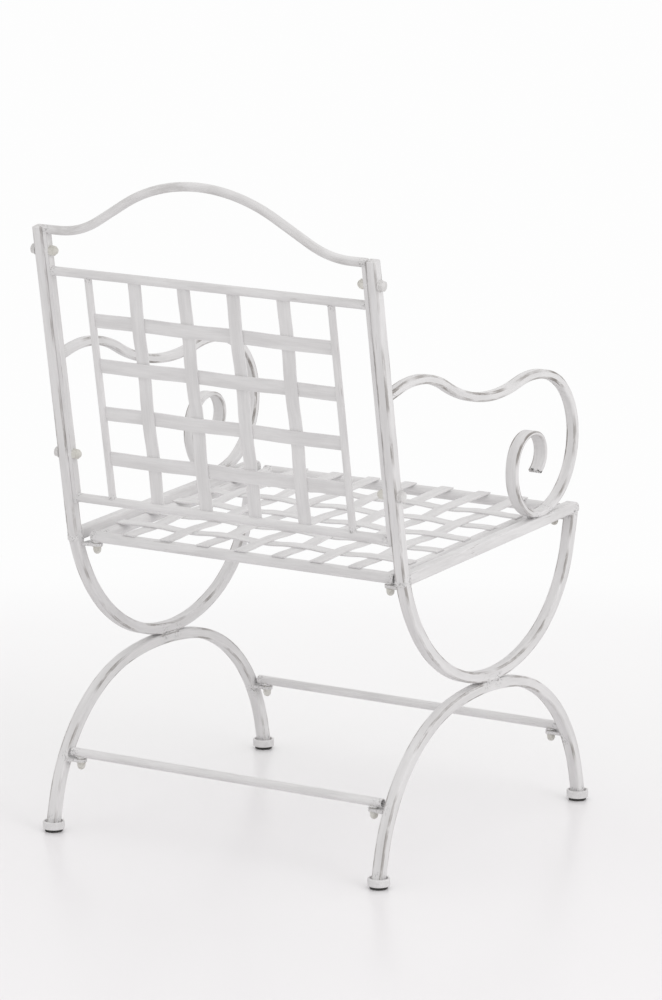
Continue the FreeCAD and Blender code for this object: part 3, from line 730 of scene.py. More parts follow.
# Bent bars
@dataclass
class BentBar:
    """A bar bent in one plane, carried as its section along its path."""

    name: str
    replaces: str
    path: BentPath
    section: BarSection
    finish: PaintFinish
    joints: list[Point]
    end_round: float = 1.2
    end_grime_and_shade: tuple[float, float] = (0.0, 0.0)
    step: float = 3.0
    tip_length: float = 2.5
    tip_wear: float = 0.8
    end_length: float = 1.4
    joint_reach: float = 17.0
    joint_grime: float = 0.75

    def lay(self, flat: Array, way: Array) -> tuple[Array, Array, Array]:
        """Put the flat path in space; overridden by each family of bars.

        Args:
            flat: Path points (n, 2).
            way: Path directions (n, 2).

        Returns:
            Points (n, 3), the across axis (3,) and through axes (n, 3).
        """
        raise NotImplementedError

    def profiles(self, along: Array) -> Array:
        """Section points (n, m, 2) at distances along the path; the same everywhere unless overridden."""
        outline = self.section.outline()[0]
        return np.broadcast_to(outline, (len(along), *outline.shape))

    def end_rings(self, outline: Array) -> tuple[Array, Array]:
        """Shrink and shift of the rings that round an end.

        A ring at angle a of a quarter circle of radius r stands r * (1 - cos a) back from the end
        and is drawn in by r * (1 - sin a) on both half sizes.

        Args:
            outline: Section points (m, 2).

        Returns:
            Ring shapes (k, m, 2) from the tip inwards and how far each stands back (k,).
        """
        angle = np.linspace(0, math.pi / 2, 5)
        drawn = 1 - (1 - np.sin(angle))[:, None] * self.end_round / np.abs(outline).max(0)
        return outline * drawn[:, None, :], self.end_round * (1 - np.cos(angle))

    def surface(self) -> tuple[Array, dict[str, Array]]:
        """The bar's grid: section points times path frames, with both ends rounded.

        Returns:
            Grid (n, m, 3) and its marks.
        """
        flat, way, along = self.path.sample(self.step)
        spine, across, through = self.lay(flat, way)
        ahead, shape = tangents(spine), self.profiles(along)
        inner = spine[1:-1, None] + shape[1:-1, :, :1] * across + shape[1:-1, :, 1:] * through[1:-1, None]

        def end(at: int, inwards: Array) -> Array:
            """Rings of one end, from the tip inwards.

            Args:
                at: Index of the end, 0 or -1.
                inwards: Direction from the tip along the bar.

            Returns:
                Points (k, m, 3).
            """
            rings, back = self.end_rings(shape[at])
            base = spine[at] + back[:, None] * inwards
            return base[:, None] + rings[..., :1] * across + rings[..., 1:] * through[at]

        grid = np.concatenate([end(0, ahead[0]), inner, end(-1, -ahead[-1])[::-1]])
        back = self.end_rings(shape[0])[1]
        stations = np.concatenate([along[0] + back, along[1:-1], (along[-1] - back)[::-1]])
        return grid, self.marks(grid, stations)

    def marks(self, grid: Array, stations: Array) -> dict[str, Array]:
        """Where each point lies on the bar, how much wear gathers there, and how dark grime and painted shade
        make it.

        Wear is the section's edge nearness, or that to the bar's tips. Grime gathers at the joints
        and, where asked for, the end faces are darkened: grime on the crest, painted shade on the arm's curl
        end.

        Args:
            grid: The bar's points (n, m, 3).
            stations: Distance of each row along the path (n,).

        Returns:
            Marks by name.
        """
        def at_ends(first: float, last: float, reach: float) -> Array:
            """Weights that fall from both ends of the bar.

            Args:
                first: Weight at the start.
                last: Weight at the end.
                reach: Length over which both fall to zero.

            Returns:
                Weights (n,).
            """
            end = stations[-1]
            return np.maximum(first * (1 - smooth_step(0, reach, stations)),
                              last * smooth_step(end - reach, end, stations))

        profile = self.profiles(stations)
        far = np.broadcast_to(stations[:, None, None], (*profile.shape[:2], 1))
        shift = np.array([sum(map(ord, self.name)) * 7.3, 0.0, 0.0])
        tips = at_ends(self.tip_wear, self.tip_wear, self.tip_length)
        # Darkened end faces: painted shade on the arm's curl end, grime on the crest's ends.
        ends = at_ends(*self.end_grime_and_shade, self.end_length)
        return {"bar_place": (np.concatenate([far, profile], -1) + shift) * MM,
                "wear": np.maximum(self.section.outline()[1], tips[:, None]),
                "grime": np.maximum(self.joint_grime * nearness(grid, self.joints, self.joint_reach),
                                    ends[:, None])}

    def build(self, shop: Paintshop) -> None:
        """Make the bar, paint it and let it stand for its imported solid.

        Args:
            shop: Makes its material.
        """
        shell = Shell()
        grid, marks = self.surface()
        shell.add(grid, **marks)
        thing = shell.make(self.name, shop.swept(self.name + "_paint", self.finish))
        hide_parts(self.replaces)
        log.info("bar %s stands for %s", self.name, self.replaces)


@dataclass
class SideBar(BentBar):
    """A bar bent in a plane across X, at one side of the chair."""

    plane: float = SIDE_PLANE

    def lay(self, flat: Array, way: Array) -> tuple[Array, Array, Array]:
        """Path (y, z) in the plane; through is the path's left side."""
        spine = np.column_stack([np.full(len(flat), self.plane), flat[:, 0] + FEET_MIDDLE, flat[:, 1]])
        return spine, LEFTWARD, np.column_stack([np.zeros(len(way)), -way[:, 1], way[:, 0]])


@dataclass
class ForgedBar(SideBar):
    """A side bar whose section changes evenly, over the end of its path, into another one."""

    tip: BarSection = BarSection(20.5, 5.5, 2.0)
    even_runs: int = 4

    def profiles(self, along: Array) -> Array:
        """Blend of the bar's and the tip's outline by the share of the forged length that is gone.

        Args:
            along: Distances along the path (n,).

        Returns:
            Section points (n, m, 2).
        """
        start, end = self.path.length(self.even_runs), self.path.length(len(self.path.runs))
        share = np.clip((along - start) / (end - start), 0, 1)[:, None, None]
        return (1 - share) * self.section.outline()[0] + share * self.tip.outline()[0]


@dataclass(frozen=True)
class BackPlane:
    """The plane of the leaning back: x across, s up the back, w towards the front."""

    rake: float = 9.77
    base_y: float = 217.0
    base_z: float = 450.2

    def turn(self) -> Matrix:
        """Turn from the back's own axes to the chair's."""
        return Euler((math.radians(90 - self.rake), 0, 0)).to_matrix()

    def point(self, x: float, s: float, w: float = 0.0) -> Point:
        """Place of a point of the back in the chair's frame."""
        spot = self.turn() @ Vector((x, s, w))
        return (spot.x, spot.y + self.base_y + FEET_MIDDLE, spot.z + self.base_z)

    def axis(self, x: float, s: float, w: float) -> Array:
        """Direction of the back in the chair's frame."""
        return np.array(self.turn() @ Vector((x, s, w)))


@dataclass
class CrestBar(BentBar):
    """The crest rail, bent in the plane of the back."""

    plane: BackPlane = BackPlane()

    def lay(self, flat: Array, way: Array) -> tuple[Array, Array, Array]:
        """Path (x, s) in the back's plane; across is the back's normal.

        Args:
            flat: Path points (n, 2).
            way: Path directions (n, 2).

        Returns:
            Points (n, 3), the across axis (3,) and through axes (n, 3).
        """
        left, up, front = (self.plane.axis(*unit) for unit in np.eye(3))
        spine = np.array(self.plane.point(0, 0)) + flat[:, :1] * left + flat[:, 1:] * up
        return spine, front, -way[:, 1:] * left + way[:, :1] * up


@dataclass(frozen=True)
class SideSizes:
    """Sizes and paint of the bars of a side frame; a joint is (y between the feet, z) and perhaps x."""

    bar: BarSection = BarSection(16.0, 15.5)
    arm: BarSection = BarSection(14.0, 13.0, 3.0)
    post_top: float = 418.4
    post_runs: Rows = ((432.2,), (239.6, -60.11), (250.5, -47.08), (182.2, -50.0), (46.0,))
    post_joints: Rows = ((203.0, 415.0), (-243.0, 426.0), (-32.0, 230.0), (0.0, 231.0))
    arch_runs: Rows = ((448.5, -10.2), (231.1, -67.12))
    arch_joints: Rows = ((-32.0, 229.0), (0.0, 230.0), (-239.0, 100.0, 262.0), (239.0, 100.0, 262.0),
                         (-270.0, 12.0), (270.0, 12.0))
    arch_top: float = 222.7
    leg_floor: float = 10.0
    arm_start: tuple[float, float] = (249.74, 673.96)
    arm_rise: float = 13.47
    arm_runs: Rows = ((26.2,), (172.6, 41.8), (276.5, -41.3), (161.8, 31.5), (98.0, 164.7), (67.8, 104.0),
                      (42.9, 89.75), (30.5, 133.2))
    arm_joints: Rows = ((247.0, 675.0), (-168.0, 440.0), (-137.0, 438.0))
    bar_finish: PaintFinish = PaintFinish(streaks=0.45)
    arm_finish: PaintFinish = PaintFinish(streaks=0.2, wear=1.0)
    # Near-black on the arm's curl end face: painted shade.
    curl_end_shade: float = 3.2
    curl_round: float = 0.5


@dataclass
class SideFrame:
    """Post and belly bar, leg arch and arm of one side."""

    side: Side
    sizes: SideSizes = SideSizes()
    back: BackPlane = BackPlane()

    def spot(self, y: float, z: float, x: float = SIDE_PLANE) -> Point:
        """A joint of this side, from its place between the feet."""
        return (self.side.value * x, y + FEET_MIDDLE, z)

    def bar(self, name: str, stands_for: str, path: BentPath, joints: Rows) -> SideBar:
        """One of the two even bars.

        Args:
            name: Name of the bar, without its side.
            stands_for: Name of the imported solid, without its side.
            path: Its path (y between the feet, z).
            joints: Where it is welded.

        Returns:
            The bar.
        """
        return SideBar(self.side.named(name), self.side.named(stands_for), path, self.sizes.bar,
                       self.sizes.bar_finish, [self.spot(*joint) for joint in joints],
                       plane=self.side.value * SIDE_PLANE)

    def post(self) -> SideBar:
        """The back post that runs on as the belly bar to the seat's front.

        Returns:
            The bar.
        """
        top = self.back.point(0, self.sizes.post_top)
        path = BentPath((top[1] - FEET_MIDDLE, top[2]), -90 - self.back.rake, self.sizes.post_runs)
        return self.bar("painted_post", "post_and_belly_bar", path, self.sizes.post_joints)

    def arch(self) -> SideBar:
        """The arch that makes both legs: half of it mirrored about the crown.

        Returns:
            The bar.
        """
        half = self.sizes.arch_runs
        foot = BentPath((0.0, self.sizes.arch_top), 0.0, half).sample(5.0)[0][-1]
        slope = math.radians(sum(abs(run[1]) for run in half))
        leg = (foot[1] - self.sizes.leg_floor) / math.sin(slope)
        start = (-foot[0] - leg * math.cos(slope), self.sizes.leg_floor)
        runs = ((leg,), half[1], (half[0][0], 2 * half[0][1]), half[1], (leg,))
        path = BentPath(start, math.degrees(slope), runs)
        return self.bar("painted_leg_arch", "leg_arch", path, self.sizes.arch_joints)

    def arm(self) -> ForgedBar:
        """The arm that rolls into its scroll, forged flat and cut square, with painted shade on the curl's
        end.

        Returns:
            The bar.
        """
        sizes = self.sizes
        path = BentPath(sizes.arm_start, 180 - sizes.arm_rise, sizes.arm_runs)
        joints = [self.spot(*joint) for joint in sizes.arm_joints]
        return ForgedBar(self.side.named("painted_arm"), self.side.named("arm_scroll"), path, sizes.arm,
                         sizes.arm_finish, joints, sizes.curl_round, (0.0, sizes.curl_end_shade),
                         plane=self.side.value * SIDE_PLANE)

    def build(self, shop: Paintshop) -> None:
        """Make and paint the three bent bars."""
        for bar in (self.post(), self.arch(), self.arm()):
            bar.build(shop)


@dataclass
class Crest:
    """Camel-back crest rail."""

    end: float = 260.3
    level: float = 414.3
    peak: float = 496.2
    hollow: float = 124.9
    crown: float = 235.4
    turn: float = 31.1
    weld_place: float = 257.0
    weld_level: float = 409.0
    end_round: float = 0.8
    end_grime_and_shade: float = 0.3
    section: BarSection = BarSection(12.7, 12.7, 6.2, 8, 1)
    finish: PaintFinish = PaintFinish(streaks=0.25, wear=0.3)
    back: BackPlane = BackPlane()

    def build(self, shop: Paintshop) -> None:
        """Make and paint the rail: level, hollow arc, straight rise, crown arc and the same mirrored.

        Args:
            shop: Makes its material.
        """
        turn, radii = math.radians(self.turn), self.hollow + self.crown
        rise = (self.peak - self.level - radii * (1 - math.cos(turn))) / math.sin(turn)
        lead = self.end - radii * math.sin(turn) - rise * math.cos(turn)
        half = ((lead,), (self.hollow, self.turn), (rise,))
        path = BentPath((-self.end, self.level), 0.0, (*half, (self.crown, -2 * self.turn), *half[::-1]))
        joints = [self.back.point(x, self.weld_level) for x in (-self.weld_place, self.weld_place)]
        CrestBar("painted_crest", "crest_rail", path, self.section, self.finish, joints, self.end_round,
                 (self.end_grime_and_shade, self.end_grime_and_shade), plane=self.back).build(shop)


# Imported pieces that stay
@dataclass
class PackedPieces:
    """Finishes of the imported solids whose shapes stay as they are."""

    shop: Paintshop
    back: BackPlane = BackPlane()
    upright_middle: float = 188.3
    stile_place: float = 257.3
    stile_middle: float = 214.6
    seat_level: float = 428.8
    seat_fall: float = 2.09
    seat_middle: float = -24.0
    seat_long_strips: int = 7
    seat_long_gap: float = 61.8
    seat_cross_strips: int = 5
    seat_cross_first: float = 140.0
    seat_cross_gap: float = 71.3
    seat_side: float = 238.0
    bar_fall: float = 2.41
    bar_level: float = 416.1
    bar_middle: Point = (0.0, -17.75, 8.0)
    back_long: Extent = Extent(160.0, 7.0)
    back_cross: Extent = Extent(191.5, 7.0)
    back_rail: Extent = Extent(254.3, 12.0)
    back_stile: Extent = Extent(199.6, 8.0, (3.0, 6.0), 1.2)
    back_rod: Extent = Extent(160.4, 10.0)
    seat_long: Extent = Extent(224.5, 8.0)
    seat_cross: Extent = Extent(242.0, 8.0)
    cross_tube: Extent = Extent(248.0, 14.0)
    side_tube: Extent = Extent(212.5, 16.0)
    seat_bar: Extent = Extent(235.25, 22.0, (8.0, 8.0), 3.0)
    stretcher: Extent = Extent(256.0, 20.0)
    strap: PaintFinish = PaintFinish(streaks=0.12, worn=(0.24, 0.215, 0.195), end_grime_and_shade=0.1)
    tube: PaintFinish = PaintFinish(streaks=0.6)
    rod: PaintFinish = PaintFinish(streaks=1.1)
    lug: PaintFinish = PaintFinish(streaks=0.6, grime=0.5)
    fitting: PaintFinish = PaintFinish((0.7, 0.69, 0.655), (0.6, 0.585, 0.54), streaks=0.35, grime=0.22)
    bolt: PaintFinish = PaintFinish((0.7, 0.69, 0.685), (0.63, 0.62, 0.612), streaks=0.1, grime=0.05)
    nut: PaintFinish = PaintFinish((0.69, 0.675, 0.63), (0.62, 0.605, 0.56), streaks=0.1, grime=0.05)

    def dress(self, node: str, material: bpy.types.Material) -> None:
        """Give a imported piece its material.

        Args:
            node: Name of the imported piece.
            material: Its paint.
        """
        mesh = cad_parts[node].data
        mesh.materials.clear()
        mesh.materials.append(material)
        log.info("painted %s", node)

    def paint(self, node: str, finish: PaintFinish, seat: Seat) -> None:
        """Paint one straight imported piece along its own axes."""
        self.dress(node, self.shop.straight(node + "_paint", finish, seat))

    def falling(self, degrees: float) -> Matrix:
        """Axes of a piece that falls towards the rear by an angle."""
        return Euler((-math.radians(degrees), 0, 0)).to_matrix()

    def seat_point(self, x: float, y: float, z: float) -> Point:
        """A point of the falling seat in the chair's frame."""
        spot = self.falling(self.seat_fall) @ Vector((x, y, z))
        return (spot.x, spot.y + FEET_MIDDLE, spot.z + self.seat_level)

    def build_back(self) -> None:
        """Paint the strips, rails, stiles and rods of the back."""
        lean = self.back.turn()
        upright = lean @ QUARTER
        for index, x in enumerate(BACK_LONG_STRIPS, start=1):
            place = self.back.point(x, self.upright_middle)
            self.paint("back_long_strip_%d" % index, self.strap, Seat(place, upright, self.back_long))
        for index, s in enumerate(BACK_CROSS_STRIPS, start=1):
            place = self.back.point(0, s)
            self.paint("back_cross_strip_%d" % index, self.strap, Seat(place, lean, self.back_cross))
        for word, s in BACK_RAILS.items():
            self.paint(word + "_back_rail", self.tube, Seat(self.back.point(0, s), lean, self.back_rail))
        for side in Side:
            place = self.back.point(side.value * self.stile_place, self.stile_middle)
            self.paint(side.named("back_stile"), self.tube, Seat(place, upright, self.back_stile))
            place = self.back.point(side.value * ROD_PLACE, self.upright_middle)
            self.paint(side.named("back_rod"), self.rod, Seat(place, upright, self.back_rod))

    def build_seat(self) -> None:
        """Paint the strips, tubes and side bars of the seat, and the stretchers below."""
        fall, bar = self.falling(self.seat_fall), self.falling(self.bar_fall)
        for index in range(self.seat_long_strips):
            x = self.seat_long_gap * ((self.seat_long_strips - 1) / 2 - index)
            seat = Seat(self.seat_point(x, self.seat_middle, 0), fall @ QUARTER, self.seat_long)
            self.paint("seat_long_strip_%d" % (index + 1), self.strap, seat)
        for index in range(self.seat_cross_strips):
            place = self.seat_point(0, self.seat_cross_first - self.seat_cross_gap * index, 0)
            self.paint("seat_cross_strip_%d" % (index + 1), self.strap, Seat(place, fall, self.seat_cross))
        for word, y in SEAT_TUBES.items():
            place = self.seat_point(0, y, TUBE_DROP)
            self.paint(word + "_seat_tube", self.tube, Seat(place, fall, self.cross_tube))
        centre = bar @ Vector(self.bar_middle)
        for side in Side:
            place = self.seat_point(side.value * self.seat_side, self.seat_middle, TUBE_DROP)
            self.paint(side.named("seat_tube"), self.tube, Seat(place, fall @ QUARTER, self.side_tube))
            place = (side.value * SIDE_PLANE, centre.y + FEET_MIDDLE, centre.z + self.bar_level)
            self.paint(side.named("seat_bar"), PaintFinish(), Seat(place, bar @ QUARTER, self.seat_bar))
        for word, (y, z) in STRETCHERS.items():
            seat = Seat((0.0, y + FEET_MIDDLE, z), Matrix.Identity(3), self.stretcher)
            self.paint(word + "_stretcher", self.tube, seat)

    def build_fittings(self) -> None:
        """Paint the lugs, fasteners and feet, by the ends of their names."""
        fitting, shop = self.shop.cast("fitting_paint", self.fitting), self.shop
        materials = {"_lugs": shop.cast("lug_paint", self.lug),
                     "back_bolts": shop.cast("back_bolt_paint", self.bolt),
                     "back_cap_nuts": shop.cast("back_nut_paint", self.nut),
                     "_studs": fitting, "_washers": fitting, "_cap_nuts": fitting,
                     "_cup": shop.cup("foot_cup_paint", PaintFinish(grime=0.12)),
                     "_glide": shop.glide("glide_plastic")}
        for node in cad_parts:
            ending = next((ending for ending in materials if node.endswith(ending)), None)
            if ending:
                self.dress(node, materials[ending])

    def build(self) -> None:
        """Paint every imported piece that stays."""
        self.build_back()
        self.build_seat()
        self.build_fittings()


# Welds
def line(one: Point, two: Point) -> Array:
    """Twelve points of a straight line."""
    return np.linspace(one, two, 12)


def arc_line(centre: Point, one: Array, two: Array, radius: float, first: float = 0,
             last: float = 350) -> Array:
    """Points of an arc: centre + radius * (cos * one + sin * two), angles in degrees."""
    swing = np.radians(np.linspace(first, last, 24))
    return np.array(centre) + radius * (np.cos(swing)[:, None] * one + np.sin(swing)[:, None] * two)


@dataclass
class Weld:
    """One bead along a line: a tube whose radius swells with every puddle of the weld."""

    line: Array
    radius: float
    seed: int
    lumps: float = 0.22
    lump_size: float = 3.2
    grime_size: float = 7.0
    pitch: float = 2.6
    swell: float = 0.12
    spacing: float = 0.7
    columns: int = 12

    def grid(self) -> tuple[Array, dict[str, Array]]:
        """The bead's surface.

        Radius is r0 * (1 + swell * sin(2 pi * distance / pitch) + lumps * noise), falling to zero at
        both ends as the square root of one minus the sixth power of the distance from the middle.

        Returns:
            Grid (n, columns, 3) and its marks.
        """
        gone = np.concatenate([[0], np.cumsum(np.linalg.norm(np.diff(self.line, axis=0), axis=1))])
        along = np.linspace(0, gone[-1], max(8, int(gone[-1] / self.spacing)))
        spine = np.stack([np.interp(along, gone, self.line[:, k]) for k in range(3)], 1)
        ahead = tangents(spine)
        one = np.cross(ahead, np.array([0.31, 0.77, 0.55]))
        one /= np.linalg.norm(one, axis=1)[:, None]
        two = np.cross(ahead, one)
        angle = np.linspace(0, 2 * math.pi, self.columns + 1)[:-1]
        ring = np.cos(angle)[None, :, None] * one[:, None] + np.sin(angle)[None, :, None] * two[:, None]
        fade = np.sqrt(np.clip(1 - np.abs(2 * along / gone[-1] - 1) ** 6, 0.02, 1))
        puddles = 1 + self.swell * np.sin(2 * math.pi * along / self.pitch)
        shape = spine[:, None] + ring * (self.radius * fade * puddles)[:, None, None]
        lumps = self.lumps * self.radius * ripple(shape, self.lump_size, self.seed) * fade[:, None]
        shape = shape + ring * lumps[..., None]
        grime = np.clip(0.5 + 0.6 * ripple(shape, self.grime_size, self.seed + 1), 0, 1)
        return shape, {"bar_place": shape * MM, "wear": np.full(shape.shape[:2], 0.3), "grime": grime}


@dataclass(frozen=True)
class StudRing:
    """Rough ring of weld around a stud: how far out and how far below its tube, and its sizes."""

    out: float
    below: float
    radius: float
    bead: float
    lumps: float = 0.4


@dataclass
class Welds:
    """Every weld bead that shows, gathered by the sub-assembly that carries it.

    A crossing is (y between the feet, z, radius) of a bead across a bar. A butt is the same two
    coordinates of both ends of a bead along the bars' faces, and its radius.
    """

    shop: Paintshop
    packed: PackedPieces
    back: BackPlane = BackPlane()
    finish: PaintFinish = PaintFinish(streaks=0.3, wear=0.6)
    crossings: Rows = ((4.0, 230.7, 1.6), (-36.0, 229.2, 1.4), (-171.8, 439.9, 1.5), (-132.8, 438.3, 1.5),
                       (199.8, 407.4, 2.0), (-234.8, 425.6, 1.6))
    crossing_half: float = 7.4
    butts: Rows = ((200.3, 408.3, 203.7, 422.5, 1.3), (-249.0, 426.4, -237.5, 426.0, 1.1),
                   (-31.0, 229.6, -1.0, 230.6, 0.9))
    butt_face: float = 7.6
    leg_foot: Point = (5.5, 269.8, 12.9)
    leg_half: float = 8.3
    leg_bead: float = 1.0
    stretcher_ring: StudRing = StudRing(242.0, 5.7, 6.0, 1.5)
    stretcher_lug: float = 8.4
    seat_ring: StudRing = StudRing(241.0, 6.6, 5.6, 1.4)
    seat_lugs: tuple[float, float] = (400.0, 416.0)
    lug_half: float = 7.0
    lug_bead: float = 1.3
    rail_end: float = 254.1
    rail_ring: float = 6.1
    rail_bead: float = 0.9
    rod_gap: float = 5.6
    rod_ring: float = 5.1
    rod_bead: float = 0.7
    crest_level: float = 409.3
    crest_span: tuple[float, float] = (254.7, 259.9)
    crest_face: float = 5.4
    strip_half: float = 9.0
    strip_bead: float = 0.75
    strip_tops: tuple[float, float] = (348.4, 28.2)
    strip_sides: tuple[float, float] = (191.7, -191.7)

    def make(self, name: str, beads: list[Weld]) -> None:
        """Make one piece of several beads.

        Args:
            name: Name of the piece.
            beads: The beads.
        """
        shell = Shell()
        for bead in beads:
            grid, marks = bead.grid()
            shell.add(grid, **marks)
        thing = shell.make(name, self.shop.swept(name + "_paint", self.finish), 60.0)
        log.info("%s: %d beads", name, len(beads))

    def side_beads(self, plane: float) -> list[Weld]:
        """Beads of a side frame: across the bars where they cross, along butted faces and at the cups.

        Args:
            plane: X of the frame's middle plane.

        Returns:
            The beads.
        """
        origin = np.array([plane, FEET_MIDDLE, 0.0])

        def bead(one: Point, two: Point, radius: float, seed: int) -> Weld:
            """A bead between two places, each (x from the plane, y between the feet, z)."""
            return Weld(line(origin + one, origin + two), radius, seed)

        beads = [bead((-self.crossing_half, y, z), (self.crossing_half, y, z), radius, seed)
                 for seed, (y, z, radius) in enumerate(self.crossings, start=11)]
        beads += [bead((face, *ends[:2]), (face, *ends[2:]), radius, 30 + 20 * row + int(face))
                  for row, (*ends, radius) in enumerate(self.butts)
                  for face in (-self.butt_face, self.butt_face)]
        half, foot, level = self.leg_foot
        for row, end in enumerate((1, -1)):
            for column, face in enumerate((-1, 1)):
                y = end * foot + face * self.leg_half
                beads.append(bead((-half, y, level), (half, y, level), self.leg_bead, 90 + row + 4 * column))
        return beads

    def stud_beads(self, y: float, level: float, ring: StudRing, low: float, first: int) -> list[Weld]:
        """On both sides, a rough ring around a stud under its tube and a bead at the lug's root.

        Args:
            y: Place of the studs between the feet.
            level: Level of the tube's middle.
            ring: The ring.
            low: Level of the lug's bead.
            first: First seed.

        Returns:
            The beads.
        """
        beads, y = [], y + FEET_MIDDLE
        for seed, side in zip((first, first + 3), Side):
            centre, root = (side.value * ring.out, y, level - ring.below), side.value * LUG_ROOT
            around = arc_line(centre, LEFTWARD, REARWARD, ring.radius)
            lug = line((root, y - self.lug_half, low), (root, y + self.lug_half, low))
            beads += [Weld(around, ring.bead, seed, ring.lumps), Weld(lug, self.lug_bead, seed + 1)]
        return beads

    def stretcher_beads(self) -> list[Weld]:
        """Rough spots between each stretcher, its lug and the leg.

        Returns:
            The beads.
        """
        beads = []
        for row, (y, level) in enumerate(STRETCHERS.values()):
            low = level - self.stretcher_lug
            beads += self.stud_beads(y, level, self.stretcher_ring, low, 200 + 10 * row)
        return beads

    def seat_beads(self) -> list[Weld]:
        """Rough spots between the seat's tubes, its lugs and the side frames.

        Returns:
            The beads.
        """
        beads = []
        for row, (y, low) in enumerate(zip(SEAT_TUBES.values(), self.seat_lugs)):
            level = self.packed.seat_point(0, y, TUBE_DROP)[2]
            beads += self.stud_beads(y, level, self.seat_ring, low, 300 + 10 * row)
        return beads

    def back_beads(self) -> list[Weld]:
        """Thin rings where rails meet stiles and rods, and short beads at the strips' ends.

        Returns:
            The beads.
        """
        point, half, beads = self.back.point, self.strip_half, []
        up, front = self.back.axis(0, 1, 0), self.back.axis(0, 0, 1)
        for column, side in enumerate(Side):
            for row, (s, inwards) in enumerate(zip(BACK_RAILS.values(), (-self.rod_gap, self.rod_gap))):
                seed = 400 + 7 * row + column
                rail = arc_line(point(side.value * self.rail_end, s), up, front, self.rail_ring, 100, 300)
                rod = arc_line(point(side.value * ROD_PLACE, s + inwards), LEFTWARD, front, self.rod_ring)
                beads += [Weld(rail, self.rail_bead, seed), Weld(rod, self.rod_bead, seed + 20)]
            for w in (-self.crest_face, self.crest_face):
                ends = (point(side.value * x, self.crest_level, w) for x in self.crest_span)
                beads.append(Weld(line(*ends), self.rail_bead, 440 + column))
        beads += [Weld(line(point(x - half, s), point(x + half, s)), self.strip_bead, 460 + row)
                  for row, x in enumerate(BACK_LONG_STRIPS) for s in self.strip_tops]
        beads += [Weld(line(point(x, s - half), point(x, s + half)), self.strip_bead, 480 + row)
                  for row, s in enumerate(BACK_CROSS_STRIPS) for x in self.strip_sides]
        return beads

    def build(self) -> None:
        """Make all beads."""
        for side in Side:
            self.make(side.named("side_welds"), self.side_beads(side.value * SIDE_PLANE))
        self.make("stretcher_welds", self.stretcher_beads())
        self.make("seat_welds", self.seat_beads())
        self.make("back_welds", self.back_beads())


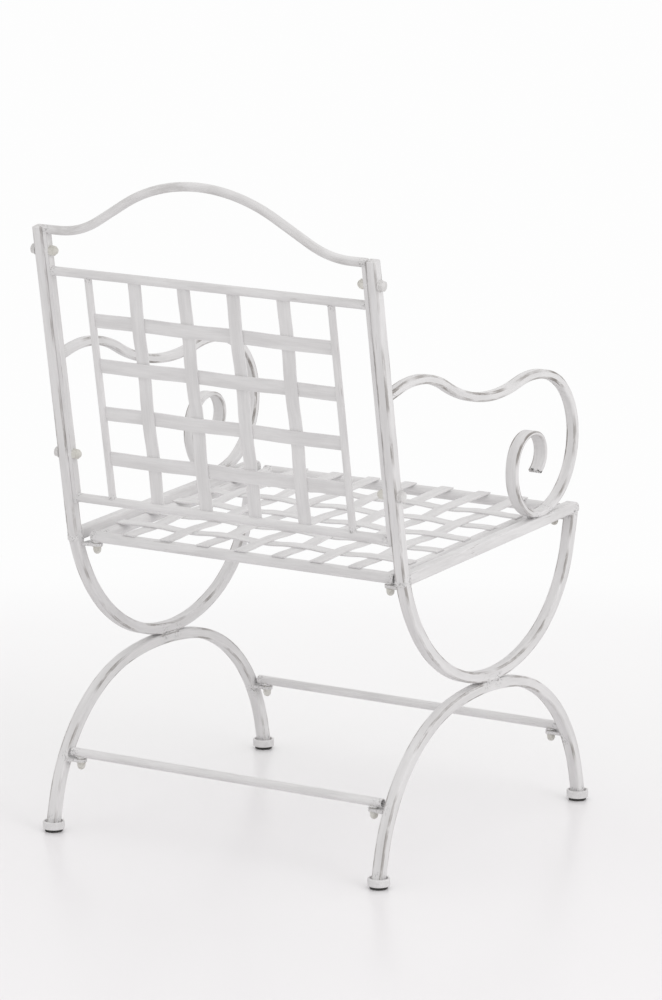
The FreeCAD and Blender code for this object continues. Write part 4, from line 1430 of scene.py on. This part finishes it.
# Studio
@dataclass
class Studio:
    """Pale floor that fades to white, soft light and the camera of the photograph."""

    eye: Point = (-3956.9, 6193.0, 2037.9)
    target: Point = (-114.1, 135.3, 496.8)
    lens: float = 193.26
    floor_half: float = 40.0
    floor_rough: float = 0.24
    floor_shine: float = 0.3
    floor_spot: Point = (-0.64, 1.0, 0.0)
    floor_tones: tuple[tuple[float, Point], ...] = (
        (0.3, (0.897, 0.884, 0.895)), (0.42, (0.92, 0.916, 0.92)), (0.5, (0.94, 0.936, 0.94)),
        (0.6, (0.956, 0.952, 0.956)), (0.68, (0.985, 0.985, 0.985)))
    tone_reach: float = 4.0
    glow: tuple[float, float] = (1.9, 2.9)
    sky: float = 0.93
    white: float = 0.985
    sky_color: tuple[float, ...] = (1.0, 0.995, 0.992, 1.0)
    lamp_place: Point = (-5.5, 1.0, 3.4)
    lamp_aim: Point = (0.0, 0.0, 0.5)
    lamp_size: float = 3.0
    lamp_power: float = 62.0

    def place(self, name: str, data: bpy.types.ID, at: Vector, aim: Vector) -> bpy.types.Object:
        """Put a camera or lamp in the scene, looking at a point with no roll.

        Args:
            name: Object name.
            data: Its camera or light.
            at: Where it stands, in metres.
            aim: What it looks at, in metres.

        Returns:
            The new object.
        """
        thing = bpy.data.objects.new(name, data)
        thing.location = at
        thing.rotation_euler = (aim - at).to_track_quat("-Z", "Y").to_euler()
        bpy.context.scene.collection.objects.link(thing)
        return thing

    def camera(self) -> None:
        """Place the camera of the photograph."""
        data = bpy.data.cameras.new("photograph_view")
        data.lens, data.sensor_width, data.sensor_fit = self.lens, 36.0, "AUTO"
        data.clip_start, data.clip_end = 0.1, 200.0
        bpy.context.scene.camera = self.place("photograph_view", data, Vector(self.eye) * MM,
                                              Vector(self.target) * MM)

    def lamp(self) -> None:
        """Hang a large soft square lamp high on the chair's right."""
        data = bpy.data.lights.new("right_high", "AREA")
        data.shape, data.size, data.energy = "SQUARE", self.lamp_size, self.lamp_power
        self.place("right_high", data, Vector(self.lamp_place), Vector(self.lamp_aim))

    def floor(self) -> None:
        """Flat floor: seen directly it fades from pale grey to white; all else sees its plain paint."""
        half = self.floor_half
        mesh = bpy.data.meshes.new("floor")
        corners = [(-half, -half, 0), (half, -half, 0), (half, half, 0), (-half, half, 0)]
        mesh.from_pydata(corners, [], [(0, 1, 2, 3)])
        floor = bpy.data.objects.new("floor", mesh)
        bpy.context.scene.collection.objects.link(floor)
        mesh.materials.append(self.floor_sweep())

    def floor_sweep(self) -> bpy.types.Material:
        """Faintly glossy floor whose tone depends on the distance from a spot behind the chair.

        Returns:
            The material.
        """
        material = bpy.data.materials.new("floor_sweep")
        graph = start_tree(material)
        from_spot = graph.vector("DISTANCE", graph.where(), self.floor_spot)
        tone = graph.node("ShaderNodeValToRGB", Fac=graph.math("DIVIDE", from_spot, self.tone_reach))
        stops = tone.color_ramp.elements
        for position, _ in self.floor_tones[1:-1]:
            stops.new(position)
        for stop, (position, color) in zip(stops, self.floor_tones):
            stop.position, stop.color = position, (*color, 1)
        paint = graph.node("ShaderNodeBsdfPrincipled", Base_Color=tone.outputs[0], Roughness=self.floor_rough,
                           Specular_IOR_Level=self.floor_shine)
        glow = graph.node("ShaderNodeEmission", Color=tone.outputs[0], Strength=1.0)
        ray = graph.node("ShaderNodeLightPath").outputs
        direct = graph.math("MAXIMUM", ray["Is Camera Ray"], ray["Is Glossy Ray"])
        share = graph.times(direct, graph.ramp(from_spot, *self.glow))
        blend = graph.add("ShaderNodeMixShader", {0: share, 1: paint.outputs[0], 2: glow.outputs[0]})
        graph.node("ShaderNodeOutputMaterial", Surface=blend.outputs[0])
        return material

    def world(self) -> None:
        """Even white surroundings; seen directly they are white."""
        world = bpy.data.worlds.new("studio")
        graph = start_tree(world)
        ray = graph.node("ShaderNodeLightPath").outputs
        direct = graph.math("MAXIMUM", ray["Is Camera Ray"], ray["Is Transmission Ray"])
        level = graph.math("ADD", graph.times(direct, self.white - self.sky), self.sky)
        sky = graph.node("ShaderNodeBackground", Color=self.sky_color, Strength=level)
        graph.node("ShaderNodeOutputWorld", Surface=sky.outputs[0])
        bpy.context.scene.world = world

    def build(self) -> None:
        """Set camera, floor, lamp, surroundings and the plain view transform."""
        self.camera()
        self.floor()
        self.world()
        self.lamp()
        bpy.context.scene.view_settings.view_transform = "Standard"
        log.info("studio is set")


def main() -> None:
    """Build the studio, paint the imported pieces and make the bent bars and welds."""
    logging.basicConfig(level=logging.INFO, format="%(name)s: %(message)s")
    Studio().build()
    shop = Paintshop()
    packed = PackedPieces(shop)
    packed.build()
    for side in Side:
        SideFrame(side).build(shop)
    Crest().build(shop)
    Welds(shop, packed).build()


if __name__ == "__main__":
    main()
